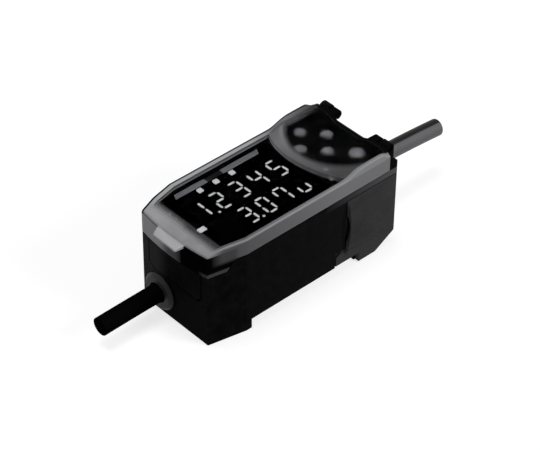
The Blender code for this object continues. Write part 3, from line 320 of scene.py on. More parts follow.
def shade_recess(material):
    """Paints shade into the lens-shaped hollow for a fingertip at a side panel's front edge."""
    tree = material.node_tree
    parts = place_parts(tree)
    recess_end = RECESS_ALONG + RECESS_HALF_LENGTH
    recess_top = RECESS_LEVEL + RECESS_HALF_HEIGHT
    run = add(tree, "MapRange", [parts[0], RECESS_ALONG, recess_end], clamp=False)
    rise = add(tree, "MapRange", [parts[2], RECESS_LEVEL, recess_top], clamp=False)
    spot = add(tree, "CombineXYZ", [run, rise, 0.0])
    reach = add(tree, "VectorMath", [spot], operation="LENGTH")
    repaint(material, within(tree, [(reach, *RECESS_EDGE)], smooth=True), "020202")


def paint_far_front_light(material):
    """Paints light onto the far part of the front wall, which faces the lamp at the cord end."""
    tree = material.node_tree
    parts = place_parts(tree)
    far_part = within(tree, [(parts[1], *FRONT_FAR_PART)], smooth=True)
    repaint(material, within(tree, [(parts[0], *FRONT_WALL), far_part]), "363637")


# Spark grain scatters the light, so these blacks are deep and dull, without a clear highlight.
case_look = ("030303", "121213", 0.6, 0.3 * MM, 0.03 * MM)
grained_black = moulded("spark_grained_black_abs", *case_look, gloss=0.006, patch=2.5 * MM)
tub_black = moulded("spark_grained_black_abs_tub", *case_look, gloss=0.006, patch=2.5 * MM)
# The tub's rim over the side panels is painted lighter, a painted highlight that grows towards the rear.
parts = place_parts(tub_black.node_tree)
painted_rim_highlight = within(tub_black.node_tree, [(parts[2], *RIM_LEVEL), (parts[0], *RIM_LIGHTENING)])
repaint(tub_black, painted_rim_highlight, "565658")
shade_recess(tub_black)
paint_far_front_light(grained_black)
paint_far_front_light(tub_black)
for node, name, material in (
    ("lower_case", "housing_tub", tub_black),
    ("upper_case", "housing_lid", grained_black),
    ("front_end_plate", "front_insert", grained_black),
):
    piece = soften(node, CASE_EDGE_ROUND, name)
    piece.data.materials.append(material)


# Side covers. Thin sliding panels of the same black plastic from a polished mould, so they are
# smoother and look a little lighter than the case round them.
PANEL_EDGE_ROUND = 0.2 * MM
satin_black = moulded("satin_black_abs", "1f1f20", "323233", 0.42, 0.6 * MM, 0.006 * MM, gloss=0.05)
shade_recess(satin_black)
for node, name in (("near_connector_cover", "near_side_panel"), ("far_connector_cover", "far_side_panel")):
    piece = soften(node, PANEL_EDGE_ROUND, name)
    piece.data.materials.append(satin_black)


# Cord bushings. Black chloroprene rubber, moulded round and pressed through the end walls. Rubber
# is dull and its tone is uneven, so the bushings look a little lighter than the black cord.
BUSH_EDGE_ROUND = 0.15 * MM
RUBBER_IOR = 1.52
BUSH_SHADE = (2.5 * MM, 6.5 * MM, 0.9, 0.0)
rubber = moulded("moulded_chloroprene_rubber", "080808", "3c3c3d", 0.5, 0.4 * MM, 0.015 * MM,
                 ior=RUBBER_IOR, gloss=0.15, patch=3 * MM)
# The photograph shows the near half of the output bush in deep shade, so it is drawn darker.
output_rubber = rubber.copy()
tree = output_rubber.node_tree
repaint(output_rubber, within(tree, [(place_parts(tree)[1], *BUSH_SHADE)]), "121213")
for node, name, material in (
    ("output_cord_bushing", "output_bush", output_rubber),
    ("sensor_cord_bushing", "sensor_bush", rubber),
):
    piece = soften(node, BUSH_EDGE_ROUND, name)
    piece.data.materials.append(material)


# Side connectors, behind the panels. Cream nylon shells, moulded in polished moulds and soldered to
# the main board, so that they have a soft even sheen.
def dress(node, material):
    """Gives a carried-over solid its material."""
    frame["nodes"][node].data.materials.clear()
    frame["nodes"][node].data.materials.append(material)


cream = moulded("cream_nylon", "c9c4b6", "d6d2c6", 0.4, 0.5 * MM, 0.01 * MM)
for node in ("near_side_connector", "far_side_connector"):
    dress(node, cream)


# Boards and components. Glass-epoxy boards under green solder mask, with moulded packages, a
# ferrite drum, stamped switch frames and an aluminium can. Only the mask and the metals shine.
solder_mask = moulded("green_solder_mask", "124a2b", "175634", 0.35, 1.2 * MM, 0.01 * MM)
epoxy = moulded("moulded_black_epoxy", "1c1c1d", "242425", 0.5, 0.3 * MM, 0.01 * MM)
ferrite = moulded("fired_ferrite", "3a3a3c", "454547", 0.6, 0.4 * MM, 0.02 * MM)
steel = moulded("stamped_steel", "8a8a8c", "9c9c9e", 0.35, 0.4 * MM, 0.004 * MM)
aluminium = moulded("drawn_aluminium", "b4b4b6", "c2c2c4", 0.3, 0.5 * MM, 0.004 * MM)
for metal in (steel, aluminium):
    metal.node_tree.nodes["Principled BSDF"].inputs["Metallic"].default_value = 1.0
for node in ("display_board", "main_board"):
    dress(node, solder_mask)
for node in ("board_connector", "processor", "mode_switch_body", "threshold_switch_body"):
    dress(node, epoxy)
for key in ("left", "right", "up", "down", "enter"):
    dress("tact_switch_" + key, steel)
dress("power_inductor", ferrite)
dress("supply_capacitor", aluminium)


# Displays. Two potted five-digit modules under the window, with a matt black face. Each bar of a
# digit is a milky strip with pointed ends, lit from below, that glows through the dark sheet. The
# rows, bars and dots are given in millimetres from the front face and the middle of the housing.
DIGIT_ROWS = (
    {"node": "main_display", "digits": "12345", "first": 11.85, "pitch": 6.6, "row": 3.4,
     "height": 6.9, "width": 3.6, "dot": (15.3, -0.05)},
    {"node": "sub_display", "digits": " 307u", "first": 13.9, "pitch": 6.05, "row": -5.8,
     "height": 6.6, "width": 3.5, "dot": (22.6, -8.75)},
)
BAR_WIDTH = 0.6
BAR_END_GAP = 0.32
BAR_LEVELS = (0.005 * MM, 0.05 * MM)
DOT_SIDE = 0.65
LIT_BARS = {
    "0": "abcdef", "1": "bc", "2": "abged", "3": "abgcd", "4": "fgbc", "5": "afgcd", "7": "fabc", "u": "cde",
}
MILKY_WHITE = "f4f4f2"
MILKY_ROUGHNESS = 0.4
GLOW = 1.8
GLOW_DRIFT = 0.15
GLOW_PATCH = 1.5 * MM
BAR_GLOW_DEPTHS = (2 * MM, MM)


def bar_outline(letter, width, height):
    """The six corners of one bar of a digit, with its pointed ends, about the digit's centre."""
    side = (width - BAR_WIDTH) / 2
    rise = (height - BAR_WIDTH) / 2
    ends = {
        "a": ((-side, rise), (side, rise)),
        "g": ((-side, 0), (side, 0)),
        "d": ((-side, -rise), (side, -rise)),
        "f": ((-side, rise), (-side, 0)), "b": ((side, rise), (side, 0)),
        "e": ((-side, 0), (-side, -rise)), "c": ((side, 0), (side, -rise)),
    }
    start, end = (Vector(point) for point in ends[letter])
    run = (end - start).normalized()
    cross = Vector((-run.y, run.x)) * BAR_WIDTH / 2
    start += run * BAR_END_GAP
    end -= run * BAR_END_GAP
    shoulder = run * BAR_WIDTH / 2
    return [start, start + shoulder + cross, end - shoulder + cross, end, end - shoulder - cross,
            start + shoulder - cross]


def slabs(name, outlines, low, high):
    """A mesh of flat prisms between two levels; the outlines are in millimetres from the front face."""
    shape = bmesh.new()
    for outline in outlines:
        lower = [shape.verts.new((front_face + x * MM, y * MM, low)) for x, y in outline]
        upper = [shape.verts.new((front_face + x * MM, y * MM, high)) for x, y in outline]
        shape.faces.new(upper)
        shape.faces.new(list(reversed(lower)))
        for index in range(len(outline)):
            following = (index + 1) % len(outline)
            shape.faces.new((lower[index], lower[following], upper[following], upper[index]))
    bmesh.ops.recalc_face_normals(shape, faces=shape.faces)
    mesh = bpy.data.meshes.new(name)
    shape.to_mesh(mesh)
    shape.free()
    thing = bpy.data.objects.new(name, mesh)
    bpy.context.scene.collection.objects.link(thing)
    return thing


def glowing(name, dark_level, lit_level):
    """Milky plastic lit from inside: it glows above one level and is dark below another."""
    material, tree, shader = new_material(name)
    place = add(tree, "TexCoord", output="Object")
    patch = add(tree, "TexNoise", {"Vector": place, "Scale": 1 / GLOW_PATCH, "Detail": 1.0})
    spread = add(tree, "MapRange", {0: patch, 3: GLOW * (1 - GLOW_DRIFT), 4: GLOW * (1 + GLOW_DRIFT)})
    give(tree, shader, {
        "Base Color": linear(MILKY_WHITE),
        "Roughness": MILKY_ROUGHNESS,
        "Emission Color": linear(MILKY_WHITE),
        "Emission Strength": within(tree, [spread, (place_parts(tree)[2], dark_level, lit_level)]),
    })
    material.cycles.emission_sampling = "NONE"
    return material


face_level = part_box("main_display")[1].z
display_face = moulded("potted_display_face", "040404", "070707", 0.5, 0.5 * MM, 0.004 * MM, gloss=0.03)
lit_bar = glowing("lit_display_bar", *(face_level - depth for depth in BAR_GLOW_DEPTHS))
for row in DIGIT_ROWS:
    dress(row["node"], display_face)
    outlines = []
    for index, digit in enumerate(row["digits"]):
        centre = row["first"] + row["pitch"] * index
        for letter in LIT_BARS.get(digit, ""):
            corners = bar_outline(letter, row["width"], row["height"])
            outlines.append([(centre + x, row["row"] + y) for x, y in corners])
    dot_x, dot_y = row["dot"]
    half = DOT_SIDE / 2
    square = ((-half, -half), (half, -half), (half, half), (-half, half))
    outlines.append([(dot_x + x, dot_y + y) for x, y in square])
    bars = slabs(row["node"] + "_bars", outlines, *(face_level + height for height in BAR_LEVELS))
    bars.data.materials.append(lit_bar)
    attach(bars, "housing")


# Light guides. Milky acrylic posts that bring the status lights up to the window, so that
# only their upper ends glow.
GUIDE_GLOW_DEPTHS = (1.2 * MM, 0.2 * MM)
milky = glowing("lit_acrylic_guide", *(face_level - depth for depth in GUIDE_GLOW_DEPTHS))
for node in ("output_light_guide", "power_light_guide"):
    dress(node, milky)


# Keys and knobs. Satin grey caps that stand on their switches under the cover's hump, and
# off-white knobs of two slide switches, all moulded smooth, which gives a small soft highlight.
KEY_RIM = (0.16, 0.5)
key_plastic = moulded("satin_grey_abs", "707072", "7a7a7c", 0.42, 0.5 * MM, 0.008 * MM, gloss=0.1)
# The rim of a cap is drawn darker, so that it looks as soft through the hump as in the photograph.
tree = key_plastic.node_tree
share_of_cap = add(tree, "TexCoord", output="Generated")
from_centre = add(tree, "VectorMath", [share_of_cap, (0.5, 0.5, 0.5)], operation="SUBTRACT")
flat = add(tree, "VectorMath", [from_centre, (1.0, 1.0, 0.0)], operation="MULTIPLY")
reach = add(tree, "VectorMath", [flat], operation="LENGTH")
repaint(key_plastic, within(tree, [(reach, *KEY_RIM)], smooth=True), "101011")
knob_plastic = moulded("white_nylon", "dcdcd8", "e4e4e0", 0.4, 0.4 * MM, 0.008 * MM)
for key in ("left", "right", "up", "down", "enter"):
    dress("key_" + key, key_plastic)
for switch in ("mode", "threshold"):
    dress(switch + "_switch_knob", knob_plastic)


# Display window. A dark polished acrylic sheet let into the lid, with a light strip printed along
# its far edge beside the status lights. The words on the strip are left off. Its rows and the
# breaks between its parts, on its near and its far side, are given in millimetres.
STRIP_LEVELS = (0.01 * MM, 0.03 * MM)
STRIP_ROWS = (10.1, 11.85)
STRIP_BREAKS = ((9.4, 10.2), (20.2, 20.2), (25.6, 25.6), (37.9, 38.8))
WINDOW_ROUGHNESS = 0.01
POLISH_WIDTH = 14 * MM
POLISH_DRIFT = 0.3
CLEAR_IOR = 1.01


def clear_sheet(name, code, roughness):
    """Polished clear plastic with a smoke tint, and a slow drift in its polish.

    Its IOR is far below acrylic's 1.49, because the photograph shows hardly any reflection on it.
    """
    material, tree, shader = new_material(name)
    place = add(tree, "TexCoord", output="Object")
    drift = add(tree, "TexNoise", {"Vector": place, "Scale": 1 / POLISH_WIDTH, "Detail": 2.0})
    low_shine, high_shine = roughness * (1 - POLISH_DRIFT), roughness * (1 + POLISH_DRIFT)
    give(tree, shader, {
        "Base Color": linear(code),
        "Roughness": add(tree, "MapRange", {0: drift, 3: low_shine, 4: high_shine}),
        "Transmission Weight": 1.0,
        "IOR": CLEAR_IOR,
    })
    return material


dress("display_window", clear_sheet("smoked_acrylic_sheet", "a8a8aa", WINDOW_ROUGHNESS))
window_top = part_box("display_window")[1].z
near_row, far_row = STRIP_ROWS
strip_parts = []
for front, rear in zip(STRIP_BREAKS, STRIP_BREAKS[1:]):
    strip_parts.append([(front[0], near_row), (rear[0], near_row), (rear[1], far_row), (front[1], far_row)])
for part, outlines, codes in (
    ("ends", strip_parts[::2], ("626264", "727274")),
    ("middle", strip_parts[1:2], ("0a0a0b", "101011")),
):
    strip = slabs("label_strip_" + part, outlines, *(window_top + height for height in STRIP_LEVELS))
    ink = moulded("screen_printed_ink_" + part, *codes, 0.5, 0.15 * MM, 0.002 * MM, gloss=0.1)
    strip.data.materials.append(ink)
    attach(strip, "housing")


# Protective cover. One moulding of smoke-tinted polycarbonate, hung on two trunnions at the rear. It
# is polished over the displays and the keys, and frosted on its lip, its skirts and the slope of its
# hump, so that those look light grey and the rest shows the black plate under it. Painted highlights
# and painted shade lie on some of its edges and walls.
body_half_width = (case_high.y - case_low.y) / 2
FLARE_DEPTH = 2.4 * MM
FLARE_LENGTH = 11.2 * MM
COVER_WALL = 1.3 * MM
COVER_THICKNESS = 1.2 * MM
COVER_ROUND = 0.5 * MM
COVER_LEVEL = 30.9 * MM
LIP_LEVEL = 29.8 * MM
LIP_LENGTH = 4.6 * MM
FRONT_BULGE = 1.1 * MM
HUMP_CENTRE = body_length - 7.2 * MM
HUMP_OUTER_RADIUS = 19.4 * MM
HUMP_RAMP = 3.8 * MM
HUMP_RISE = 1.6 * MM
SADDLE_DEPTH = 1.6 * MM
SADDLE_START = body_length - 12.2 * MM
SADDLE_FLAT = 3.5 * MM
SADDLE_HALF_WIDTH = body_half_width - 6.0 * MM
SHOULDER_DROP = 1.6 * MM
SHOULDER_LENGTH = 3.2 * MM
SHOULDER_WIDTH = 2.6 * MM
COVER_REAR = body_length - 3.6 * MM
SKIRT_LEVELS = (22.8 * MM, 26.0 * MM)
SKIRT_STEP = (5.5 * MM, 8.1 * MM)
ROUND_STEPS = 6
GRID_SPACING = 0.5 * MM


def smooth_step(value):
    """Goes from 0 to 1 with level ends as value goes from 0 to 1."""
    share = min(max(value, 0.0), 1.0)
    return share * share * (3 - 2 * share)


def half_width(along):
    """Half the cover's width: its front corners are cut back in plan."""
    return body_half_width - FLARE_DEPTH * (1 - min(max(along / FLARE_LENGTH, 0.0), 1.0))


def cover_level(along, across):
    """Height of the cover's outer surface: lip, flat, hump, saddle and rear shoulders."""
    level = LIP_LEVEL + (COVER_LEVEL - LIP_LEVEL) * min(along / LIP_LENGTH, 1.0)
    radius = math.hypot(along - HUMP_CENTRE, across)
    level += HUMP_RISE * smooth_step((HUMP_OUTER_RADIUS - radius) / HUMP_RAMP)
    along_saddle = smooth_step((along - SADDLE_START) / (COVER_REAR - SADDLE_START))
    across_saddle = 1 - smooth_step((abs(across) - SADDLE_FLAT) / (SADDLE_HALF_WIDTH - SADDLE_FLAT))
    level -= SADDLE_DEPTH * along_saddle * across_saddle
    along_shoulder = smooth_step((along - COVER_REAR + SHOULDER_LENGTH) / SHOULDER_LENGTH)
    across_shoulder = smooth_step((abs(across) - body_half_width + SHOULDER_WIDTH) / SHOULDER_WIDTH)
    return level - SHOULDER_DROP * along_shoulder * across_shoulder


def skirt_edge(along):
    """Height of the skirt's lower edge: deep at the front, with a slanting step up to the sides."""
    share = (along - SKIRT_STEP[0]) / (SKIRT_STEP[1] - SKIRT_STEP[0])
    return SKIRT_LEVELS[0] + (SKIRT_LEVELS[1] - SKIRT_LEVELS[0]) * min(max(share, 0.0), 1.0)


def round_drop(distance):
    """How far a rounded edge lies below the surface at a distance in from the side."""
    short = max(0.0, COVER_ROUND - distance)
    return COVER_ROUND - math.sqrt(max(0.0, COVER_ROUND ** 2 - short ** 2))


def spread(start, end, spacing):
    """Even steps from start to end, both ends with them."""
    count = max(1, round((end - start) / spacing))
    return [start + (end - start) * index / count for index in range(count + 1)]


def cover_skin(shape, rounded):
    """The outer skin, or the inner one a wall further in: returns its lower edge and its rear edge."""
    inset = 0.0 if rounded else COVER_WALL
    edge = [COVER_ROUND * (1 - math.cos(math.pi / 2 * index / ROUND_STEPS)) for index in range(ROUND_STEPS)]
    middle = spread(COVER_ROUND, COVER_REAR, GRID_SPACING)
    shares = [along / COVER_REAR for along in edge + middle]
    columns = round(2 * (body_half_width - COVER_ROUND) / GRID_SPACING)
    top = []
    for share in shares:
        along = inset + share * (COVER_REAR - inset)
        half = half_width(along) - inset
        sides = [half - step for step in edge]
        flat_half = half - COVER_ROUND
        middle_rows = [flat_half * (2 * index / columns - 1) for index in range(columns + 1)]
        rows = [-row for row in sides] + middle_rows + list(reversed(sides))
        line = []
        for row in rows:
            level = cover_level(along, row)
            if rounded:
                level -= round_drop(along) + round_drop(half - abs(row))
            else:
                level -= COVER_THICKNESS
            bulge = FRONT_BULGE * (1 - (row / half_width(along)) ** 2) * max(0.0, 1 - along / LIP_LENGTH)
            line.append(shape.verts.new((front_face + along - bulge, row, level)))
        top.append(line)
    loop = [line[0] for line in reversed(top)]
    loop += top[0][1:] + [line[-1] for line in top[1:]]
    lower = []
    for vertex in loop:
        along = max(vertex.co.x - front_face, 0.0)
        lower.append(shape.verts.new((vertex.co.x, vertex.co.y, skirt_edge(along))))
    for line, following in zip(top, top[1:]):
        for index in range(len(line) - 1):
            shape.faces.new((line[index], line[index + 1], following[index + 1], following[index]))
    for index in range(len(loop) - 1):
        shape.faces.new((loop[index], loop[index + 1], lower[index + 1], lower[index]))
    rear = [lower[0]] + top[-1] + [lower[-1]]
    return lower, rear


def cover_shell():
    """The cover's shell: two skins joined along the skirt's edge and across the open rear."""
    shape = bmesh.new()
    outer_lower, outer_rear = cover_skin(shape, True)
    inner_lower, inner_rear = cover_skin(shape, False)
    for outer, inner in ((outer_lower, inner_lower), (outer_rear, inner_rear)):
        for index in range(len(outer) - 1):
            shape.faces.new((outer[index], outer[index + 1], inner[index + 1], inner[index]))
    bmesh.ops.recalc_face_normals(shape, faces=shape.faces)
    mesh = bpy.data.meshes.new("smoked_cover")
    shape.to_mesh(mesh)
    shape.free()
    shell = bpy.data.objects.new("smoked_cover", mesh)
    bpy.context.scene.collection.objects.link(shell)
    return shell


TAB_WIDTHS = (8.4 * MM, 10.6 * MM)
TAB_ALONG = (-3.4 * MM, -0.45 * MM)
TAB_TOPS = (28.775 * MM, 29.875 * MM)
TAB_THICKNESSES = (0.7 * MM, 1.2 * MM)
HINGE_ALONG = body_length - 1.6 * MM
HINGE_LEVEL = 30.8 * MM
ARM_RADIUS = 1.4 * MM
ARM_ROWS = (6.8 * MM, 9.2 * MM)
TRUNNION_RADIUS = 0.9 * MM
TRUNNION_ROWS = (8.0 * MM, 12.4 * MM)
ARM_ROOT = COVER_REAR - 1.0 * MM
ARM_ROOT_INSET = 0.2 * MM
TAB_ROUND = 0.2 * MM
ARM_ROUND = 0.15 * MM
TRUNNION_ROUND = 0.1 * MM
TOOL_SEGMENTS = 3
COVER_EDGE_LIMIT = math.radians(35.0)


def prism(name, rings, edge_round):
    """A closed solid through rings of (along, across, level) points, with its edges rounded."""
    shape = bmesh.new()
    loops = []
    for ring in rings:
        loops.append([shape.verts.new((front_face + along, across, level)) for along, across, level in ring])
    shape.faces.new(loops[0])
    shape.faces.new(loops[-1])
    for loop, following in zip(loops, loops[1:]):
        for index in range(len(loop)):
            after = (index + 1) % len(loop)
            shape.faces.new((loop[index], loop[after], following[after], following[index]))
    bmesh.ops.recalc_face_normals(shape, faces=shape.faces)
    mesh = bpy.data.meshes.new(name)
    shape.to_mesh(mesh)
    shape.free()
    solid = bpy.data.objects.new(name, mesh)
    bpy.context.scene.collection.objects.link(solid)
    bevel = solid.modifiers.new("edge round", "BEVEL")
    bevel.width = edge_round
    bevel.segments = TOOL_SEGMENTS
    bevel.limit_method = "ANGLE"
    bevel.angle_limit = COVER_EDGE_LIMIT
    return solid


def arc(radius, start, sweep, count):
    """Points along an arc about the hinge line, as (along, level)."""
    angles = [math.radians(start + sweep * index / (count - 1)) for index in range(count)]
    turns = [(radius * math.cos(angle), radius * math.sin(angle)) for angle in angles]
    return [(HINGE_ALONG + run, HINGE_LEVEL + rise) for run, rise in turns]


tools = []
tab_rings = []
for along, width, top, thickness in zip(TAB_ALONG, TAB_WIDTHS, TAB_TOPS, TAB_THICKNESSES):
    half = width / 2
    tab_rings.append([(along, -half, top - thickness), (along, half, top - thickness), (along, half, top),
                      (along, -half, top)])
tools.append(prism("tab", tab_rings, TAB_ROUND))
for sign in (-1, 1):
    root_level = cover_level(ARM_ROOT, ARM_ROWS[1])
    arm = arc(ARM_RADIUS, -90.0, 180.0, 25)
    root_under = root_level - COVER_THICKNESS
    arm += [(ARM_ROOT, root_level - ARM_ROOT_INSET), (ARM_ROOT, root_under + ARM_ROOT_INSET)]
    tools.append(prism("arm", [[(a, sign * row, b) for a, b in arm] for row in ARM_ROWS], ARM_ROUND))
    pin = arc(TRUNNION_RADIUS, 0.0, 360.0, 33)[:-1]
    pin_rings = [[(a, sign * row, b) for a, b in pin] for row in TRUNNION_ROWS]
    tools.append(prism("trunnion", pin_rings, TRUNNION_ROUND))

cover = cover_shell()
for tool in tools:
    union = cover.modifiers.new(tool.name, "BOOLEAN")
    union.operation = "UNION"
    union.object = tool
bpy.context.view_layer.update()
joined = bpy.data.meshes.new_from_object(cover.evaluated_get(bpy.context.evaluated_depsgraph_get()))
cover.modifiers.clear()
cover.data = joined
for tool in tools:
    bpy.data.objects.remove(tool)
joined.shade_smooth()
joined.set_sharp_from_angle(angle=COVER_EDGE_LIMIT)
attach(cover, "cover")
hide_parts("protective_cover")

# Fades of the cover's looks: the two ends, and where they aren't 0 and 1, the shares there.
LIP_FADE = (1.4 * MM, 4.9 * MM, 1.0, 0.0)
TAB_FADE = (-1.3 * MM, -1.0 * MM, 1.0, 0.0)
FAR_SIDE = (-MM, MM)
NEAR_BORDER = 1.0 * MM
NEAR_SOFTNESS = 0.15 * MM
FAR_BORDER = (44 * MM, 52 * MM, 1.9 * MM, 2.4 * MM)
FAR_SOFTNESS = (44 * MM, 52 * MM, 0.15 * MM, 1.2 * MM)
BAND_CENTRE = (64.9 * MM, 0.8 * MM)
BAND_OUTSIDE = (23.9 * MM, 24.4 * MM, 1.0, 0.0)
BAND_INSIDE = (14.0 * MM, 16.0 * MM)
FROST_GRAIN = 0.4 * MM
FROST_DEPTH = 0.006 * MM
FROST_CLOUD = 5 * MM
FROST_ROUGHNESS = (0.36, 0.46)
SIDE_LIGHTENING = (8 * MM, 45 * MM)
BAND_LIGHTENING = (-12 * MM, 8 * MM)
FAR_TOP = (38 * MM, 46 * MM, 1.0, 0.0)
FAR_TOP_LEVEL = (29.6 * MM, 29.9 * MM)
FAR_HUMP = (48 * MM, 60 * MM, 0.0, 0.8)
LIP_TO_FAR = (-4 * MM, 10 * MM, 0.0, 0.7)
LIP_WALL = (29.2 * MM, 29.4 * MM, 1.0, 0.0)
FRONT_SHADE_UNDER = (29.2 * MM, 29.5 * MM, 1.0, 0.0)
FRONT_SHADE_ALONG = (7.6 * MM, 9.4 * MM, 1.0, 0.0)
FRONT_SHADE_ACROSS = (0.5 * MM, 4.5 * MM, 1.0, 0.0)
PATCH_ALONG = (1.2 * MM, 4.2 * MM)
PATCH_LEVEL = (25.4 * MM, 26.6 * MM)
LOW_LINE = (23.7 * MM, 24.1 * MM, 0.9, 0.0)
LOW_LINE_ACROSS = (-11.5 * MM, -9.5 * MM, 1.0, 0.0)
LIP_LINE_LOW = (28.95 * MM, 29.1 * MM)
LIP_LINE_HIGH = (29.3 * MM, 29.4 * MM, 1.0, 0.0)
LIP_LINE_ALONG = (0.1 * MM, 0.3 * MM, 0.8, 0.0)
FAR_LINE = (0.7 * MM, 0.85 * MM, 1.0, 0.0)
FAR_LINE_LEVEL = (28.6 * MM, 29.0 * MM)
NEAR_HIGHLIGHT = (0.25 * MM, 0.4 * MM, 0.7, 0.0)
NEAR_HIGHLIGHT_LEVEL = (30.2 * MM, 30.5 * MM)
INNER_WALL = (0.7 * MM, 0.8 * MM)
INNER_WALL_LEVEL = (29.2 * MM, 29.6 * MM, 1.0, 0.0)
INNER_WALL_ALONG = (LIP_LENGTH, LIP_LENGTH + MM)
HINGE_FADE = (COVER_REAR - 1.3 * MM, COVER_REAR - 0.8 * MM)
HINGE_EDGE = (0.0, 0.1)
TONE_EDGE = (0.0, 0.25)
CLARITY = (0.0, 1.0, 1.0, 0.12)
BAND_CLARITY = (0.0, 1.0, 0.0, 0.55)
HUMP_ROUGHNESS = (13.5 * MM, 19.0 * MM, 0.5, 0.01)

cover_plastic, tree, shader = new_material("smoked_polycarbonate")
place = add(tree, "TexCoord", output="Object")
along_x, across, level = place_parts(tree)
along = add(tree, "Math", [along_x, front_face], operation="SUBTRACT")
# The lip is frosted and clears towards the displays, and the tab in front of it is the lightest part.
lip = within(tree, [(along, *LIP_FADE)], smooth=True)
on_tab = within(tree, [(along, *TAB_FADE)])
not_tab = add(tree, "Math", [1.0, on_tab], operation="SUBTRACT")
# A border is frosted along both sides. On the far side it widens and softens beside the hump.
front_half_width = body_half_width - FLARE_DEPTH
flare = add(tree, "MapRange", [along, 0.0, FLARE_LENGTH, front_half_width, body_half_width])
distance = add(tree, "Math", [across], operation="ABSOLUTE")
inward = add(tree, "Math", [flare, distance], operation="SUBTRACT")
on_far_side = within(tree, [(across, *FAR_SIDE)])
on_near_side = add(tree, "Math", [1.0, on_far_side], operation="SUBTRACT")
far_border = add(tree, "MapRange", [along, *FAR_BORDER])
border = add(tree, "Mix", {0: on_far_side, 2: NEAR_BORDER, 3: far_border})
far_softness = add(tree, "MapRange", [along, *FAR_SOFTNESS])
softness = add(tree, "Mix", {0: on_far_side, 2: NEAR_SOFTNESS, 3: far_softness})
beyond = add(tree, "Math", [inward, border], operation="SUBTRACT")
beyond = add(tree, "Math", [beyond, softness], operation="DIVIDE")
side = within(tree, [(beyond, -1.0, 1.0, 1.0, 0.0)], smooth=True)
not_side = add(tree, "Math", [1.0, side], operation="SUBTRACT")
# A band is frosted round the hump: a wide arc outside, and a circle round the keys inside.
radii = []
for centre_along, centre_across in ((HUMP_CENTRE, 0.0), BAND_CENTRE):
    from_centre = add(tree, "Math", [along, centre_along], operation="SUBTRACT")
    beside_centre = add(tree, "Math", [across, centre_across], operation="SUBTRACT")
    spot = add(tree, "CombineXYZ", [from_centre, beside_centre, 0.0])
    radii.append(add(tree, "VectorMath", [spot], operation="LENGTH"))
hump_radius, band_radius = radii
ring = within(tree, [(band_radius, *BAND_OUTSIDE), (hump_radius, *BAND_INSIDE), not_side], smooth=True)
frost = add(tree, "Math", [lip, side], operation="MAXIMUM")
frost = add(tree, "Math", [frost, ring], operation="MAXIMUM")
speckle = add(tree, "TexNoise", {"Vector": place, "Scale": 1 / FROST_GRAIN, "Detail": 3.0})
cloud = add(tree, "TexNoise", {"Vector": place, "Scale": 1 / FROST_CLOUD, "Detail": 4.0})
# The frosting grows lighter along the skirts to the rear, and along the band to the far side. The
# top of the far border is lighter still, and its part beside the hump is dark.
to_rear = within(tree, [(along, *SIDE_LIGHTENING)])
side_tone = add(tree, "Mix", {0: to_rear, 6: linear("5e5e60"), 7: linear("808082")}, data_type="RGBA")
far_top = within(tree, [(along, *FAR_TOP), on_far_side, (level, *FAR_TOP_LEVEL)])
far_hump = within(tree, [(along, *FAR_HUMP), on_far_side])
for share, code in ((far_top, "a6a6a8"), (far_hump, "363638")):
    side_tone = add(tree, "Mix", {0: share, 6: side_tone, 7: linear(code)}, data_type="RGBA")
band_tone = add(tree, "Mix", {0: cloud, 6: linear("9c9c9e"), 7: linear("b8b8ba")}, data_type="RGBA")
band_far = within(tree, [(across, *BAND_LIGHTENING)])
band_tone = add(tree, "Mix", {0: band_far, 6: linear("707072"), 7: band_tone}, data_type="RGBA")
lip_tone = add(tree, "Mix", {0: cloud, 6: linear("7a7a7c"), 7: linear("a4a4a6")}, data_type="RGBA")
lip_to_far = within(tree, [(across, *LIP_TO_FAR)])
lip_wall = within(tree, [(level, *LIP_WALL)])
for share, code in ((lip_to_far, "a8a8aa"), (lip_wall, "b8b8ba"), (on_tab, "b8b8ba")):
    lip_tone = add(tree, "Mix", {0: share, 6: lip_tone, 7: linear(code)}, data_type="RGBA")
# The near half of the front wall and the slanting wall beside it are painted near black, as painted
# shade. A faint patch on the slanting wall and a line along its lower edge are painted highlights.
painted_front_shade = within(tree, [(along, *FRONT_SHADE_ALONG), (across, *FRONT_SHADE_ACROSS)], smooth=True)
painted_front_shade = within(tree, [painted_front_shade, (level, *FRONT_SHADE_UNDER), not_tab])
patch = within(tree, [(along, *PATCH_ALONG), (level, *PATCH_LEVEL)])
low_line = within(tree, [(level, *LOW_LINE), (across, *LOW_LINE_ACROSS)])
painted_light_share = add(tree, "Math", [patch, low_line], operation="MAXIMUM")
front_shade_tone = add(tree, "Mix", {0: painted_light_share, 6: linear("060606"), 7: linear("4c4c4e")}, data_type="RGBA")
# Painted shade: a dark line runs under the lip and along the far edge, where the rounded rim turns the light
# away.
lip_shade_line = within(tree, [(level, *LIP_LINE_LOW), (level, *LIP_LINE_HIGH), (along, *LIP_LINE_ALONG), not_tab])
far_shade_line = within(tree, [(inward, *FAR_LINE), on_far_side, (level, *FAR_LINE_LEVEL)])
painted_shade_line = add(tree, "Math", [lip_shade_line, far_shade_line], operation="MAXIMUM")
# Painted highlight: a light line runs along the near edge, where the rounded rim faces the light.
painted_near_highlight = within(tree, [(inward, *NEAR_HIGHLIGHT), (level, *NEAR_HIGHLIGHT_LEVEL), on_near_side])
# Painted shade: the inner faces of the skirts are drawn near black, as light hardly reaches them.
inner_wall_shade = within(tree, [(inward, *INNER_WALL), (level, *INNER_WALL_LEVEL), (along, *INNER_WALL_ALONG)])
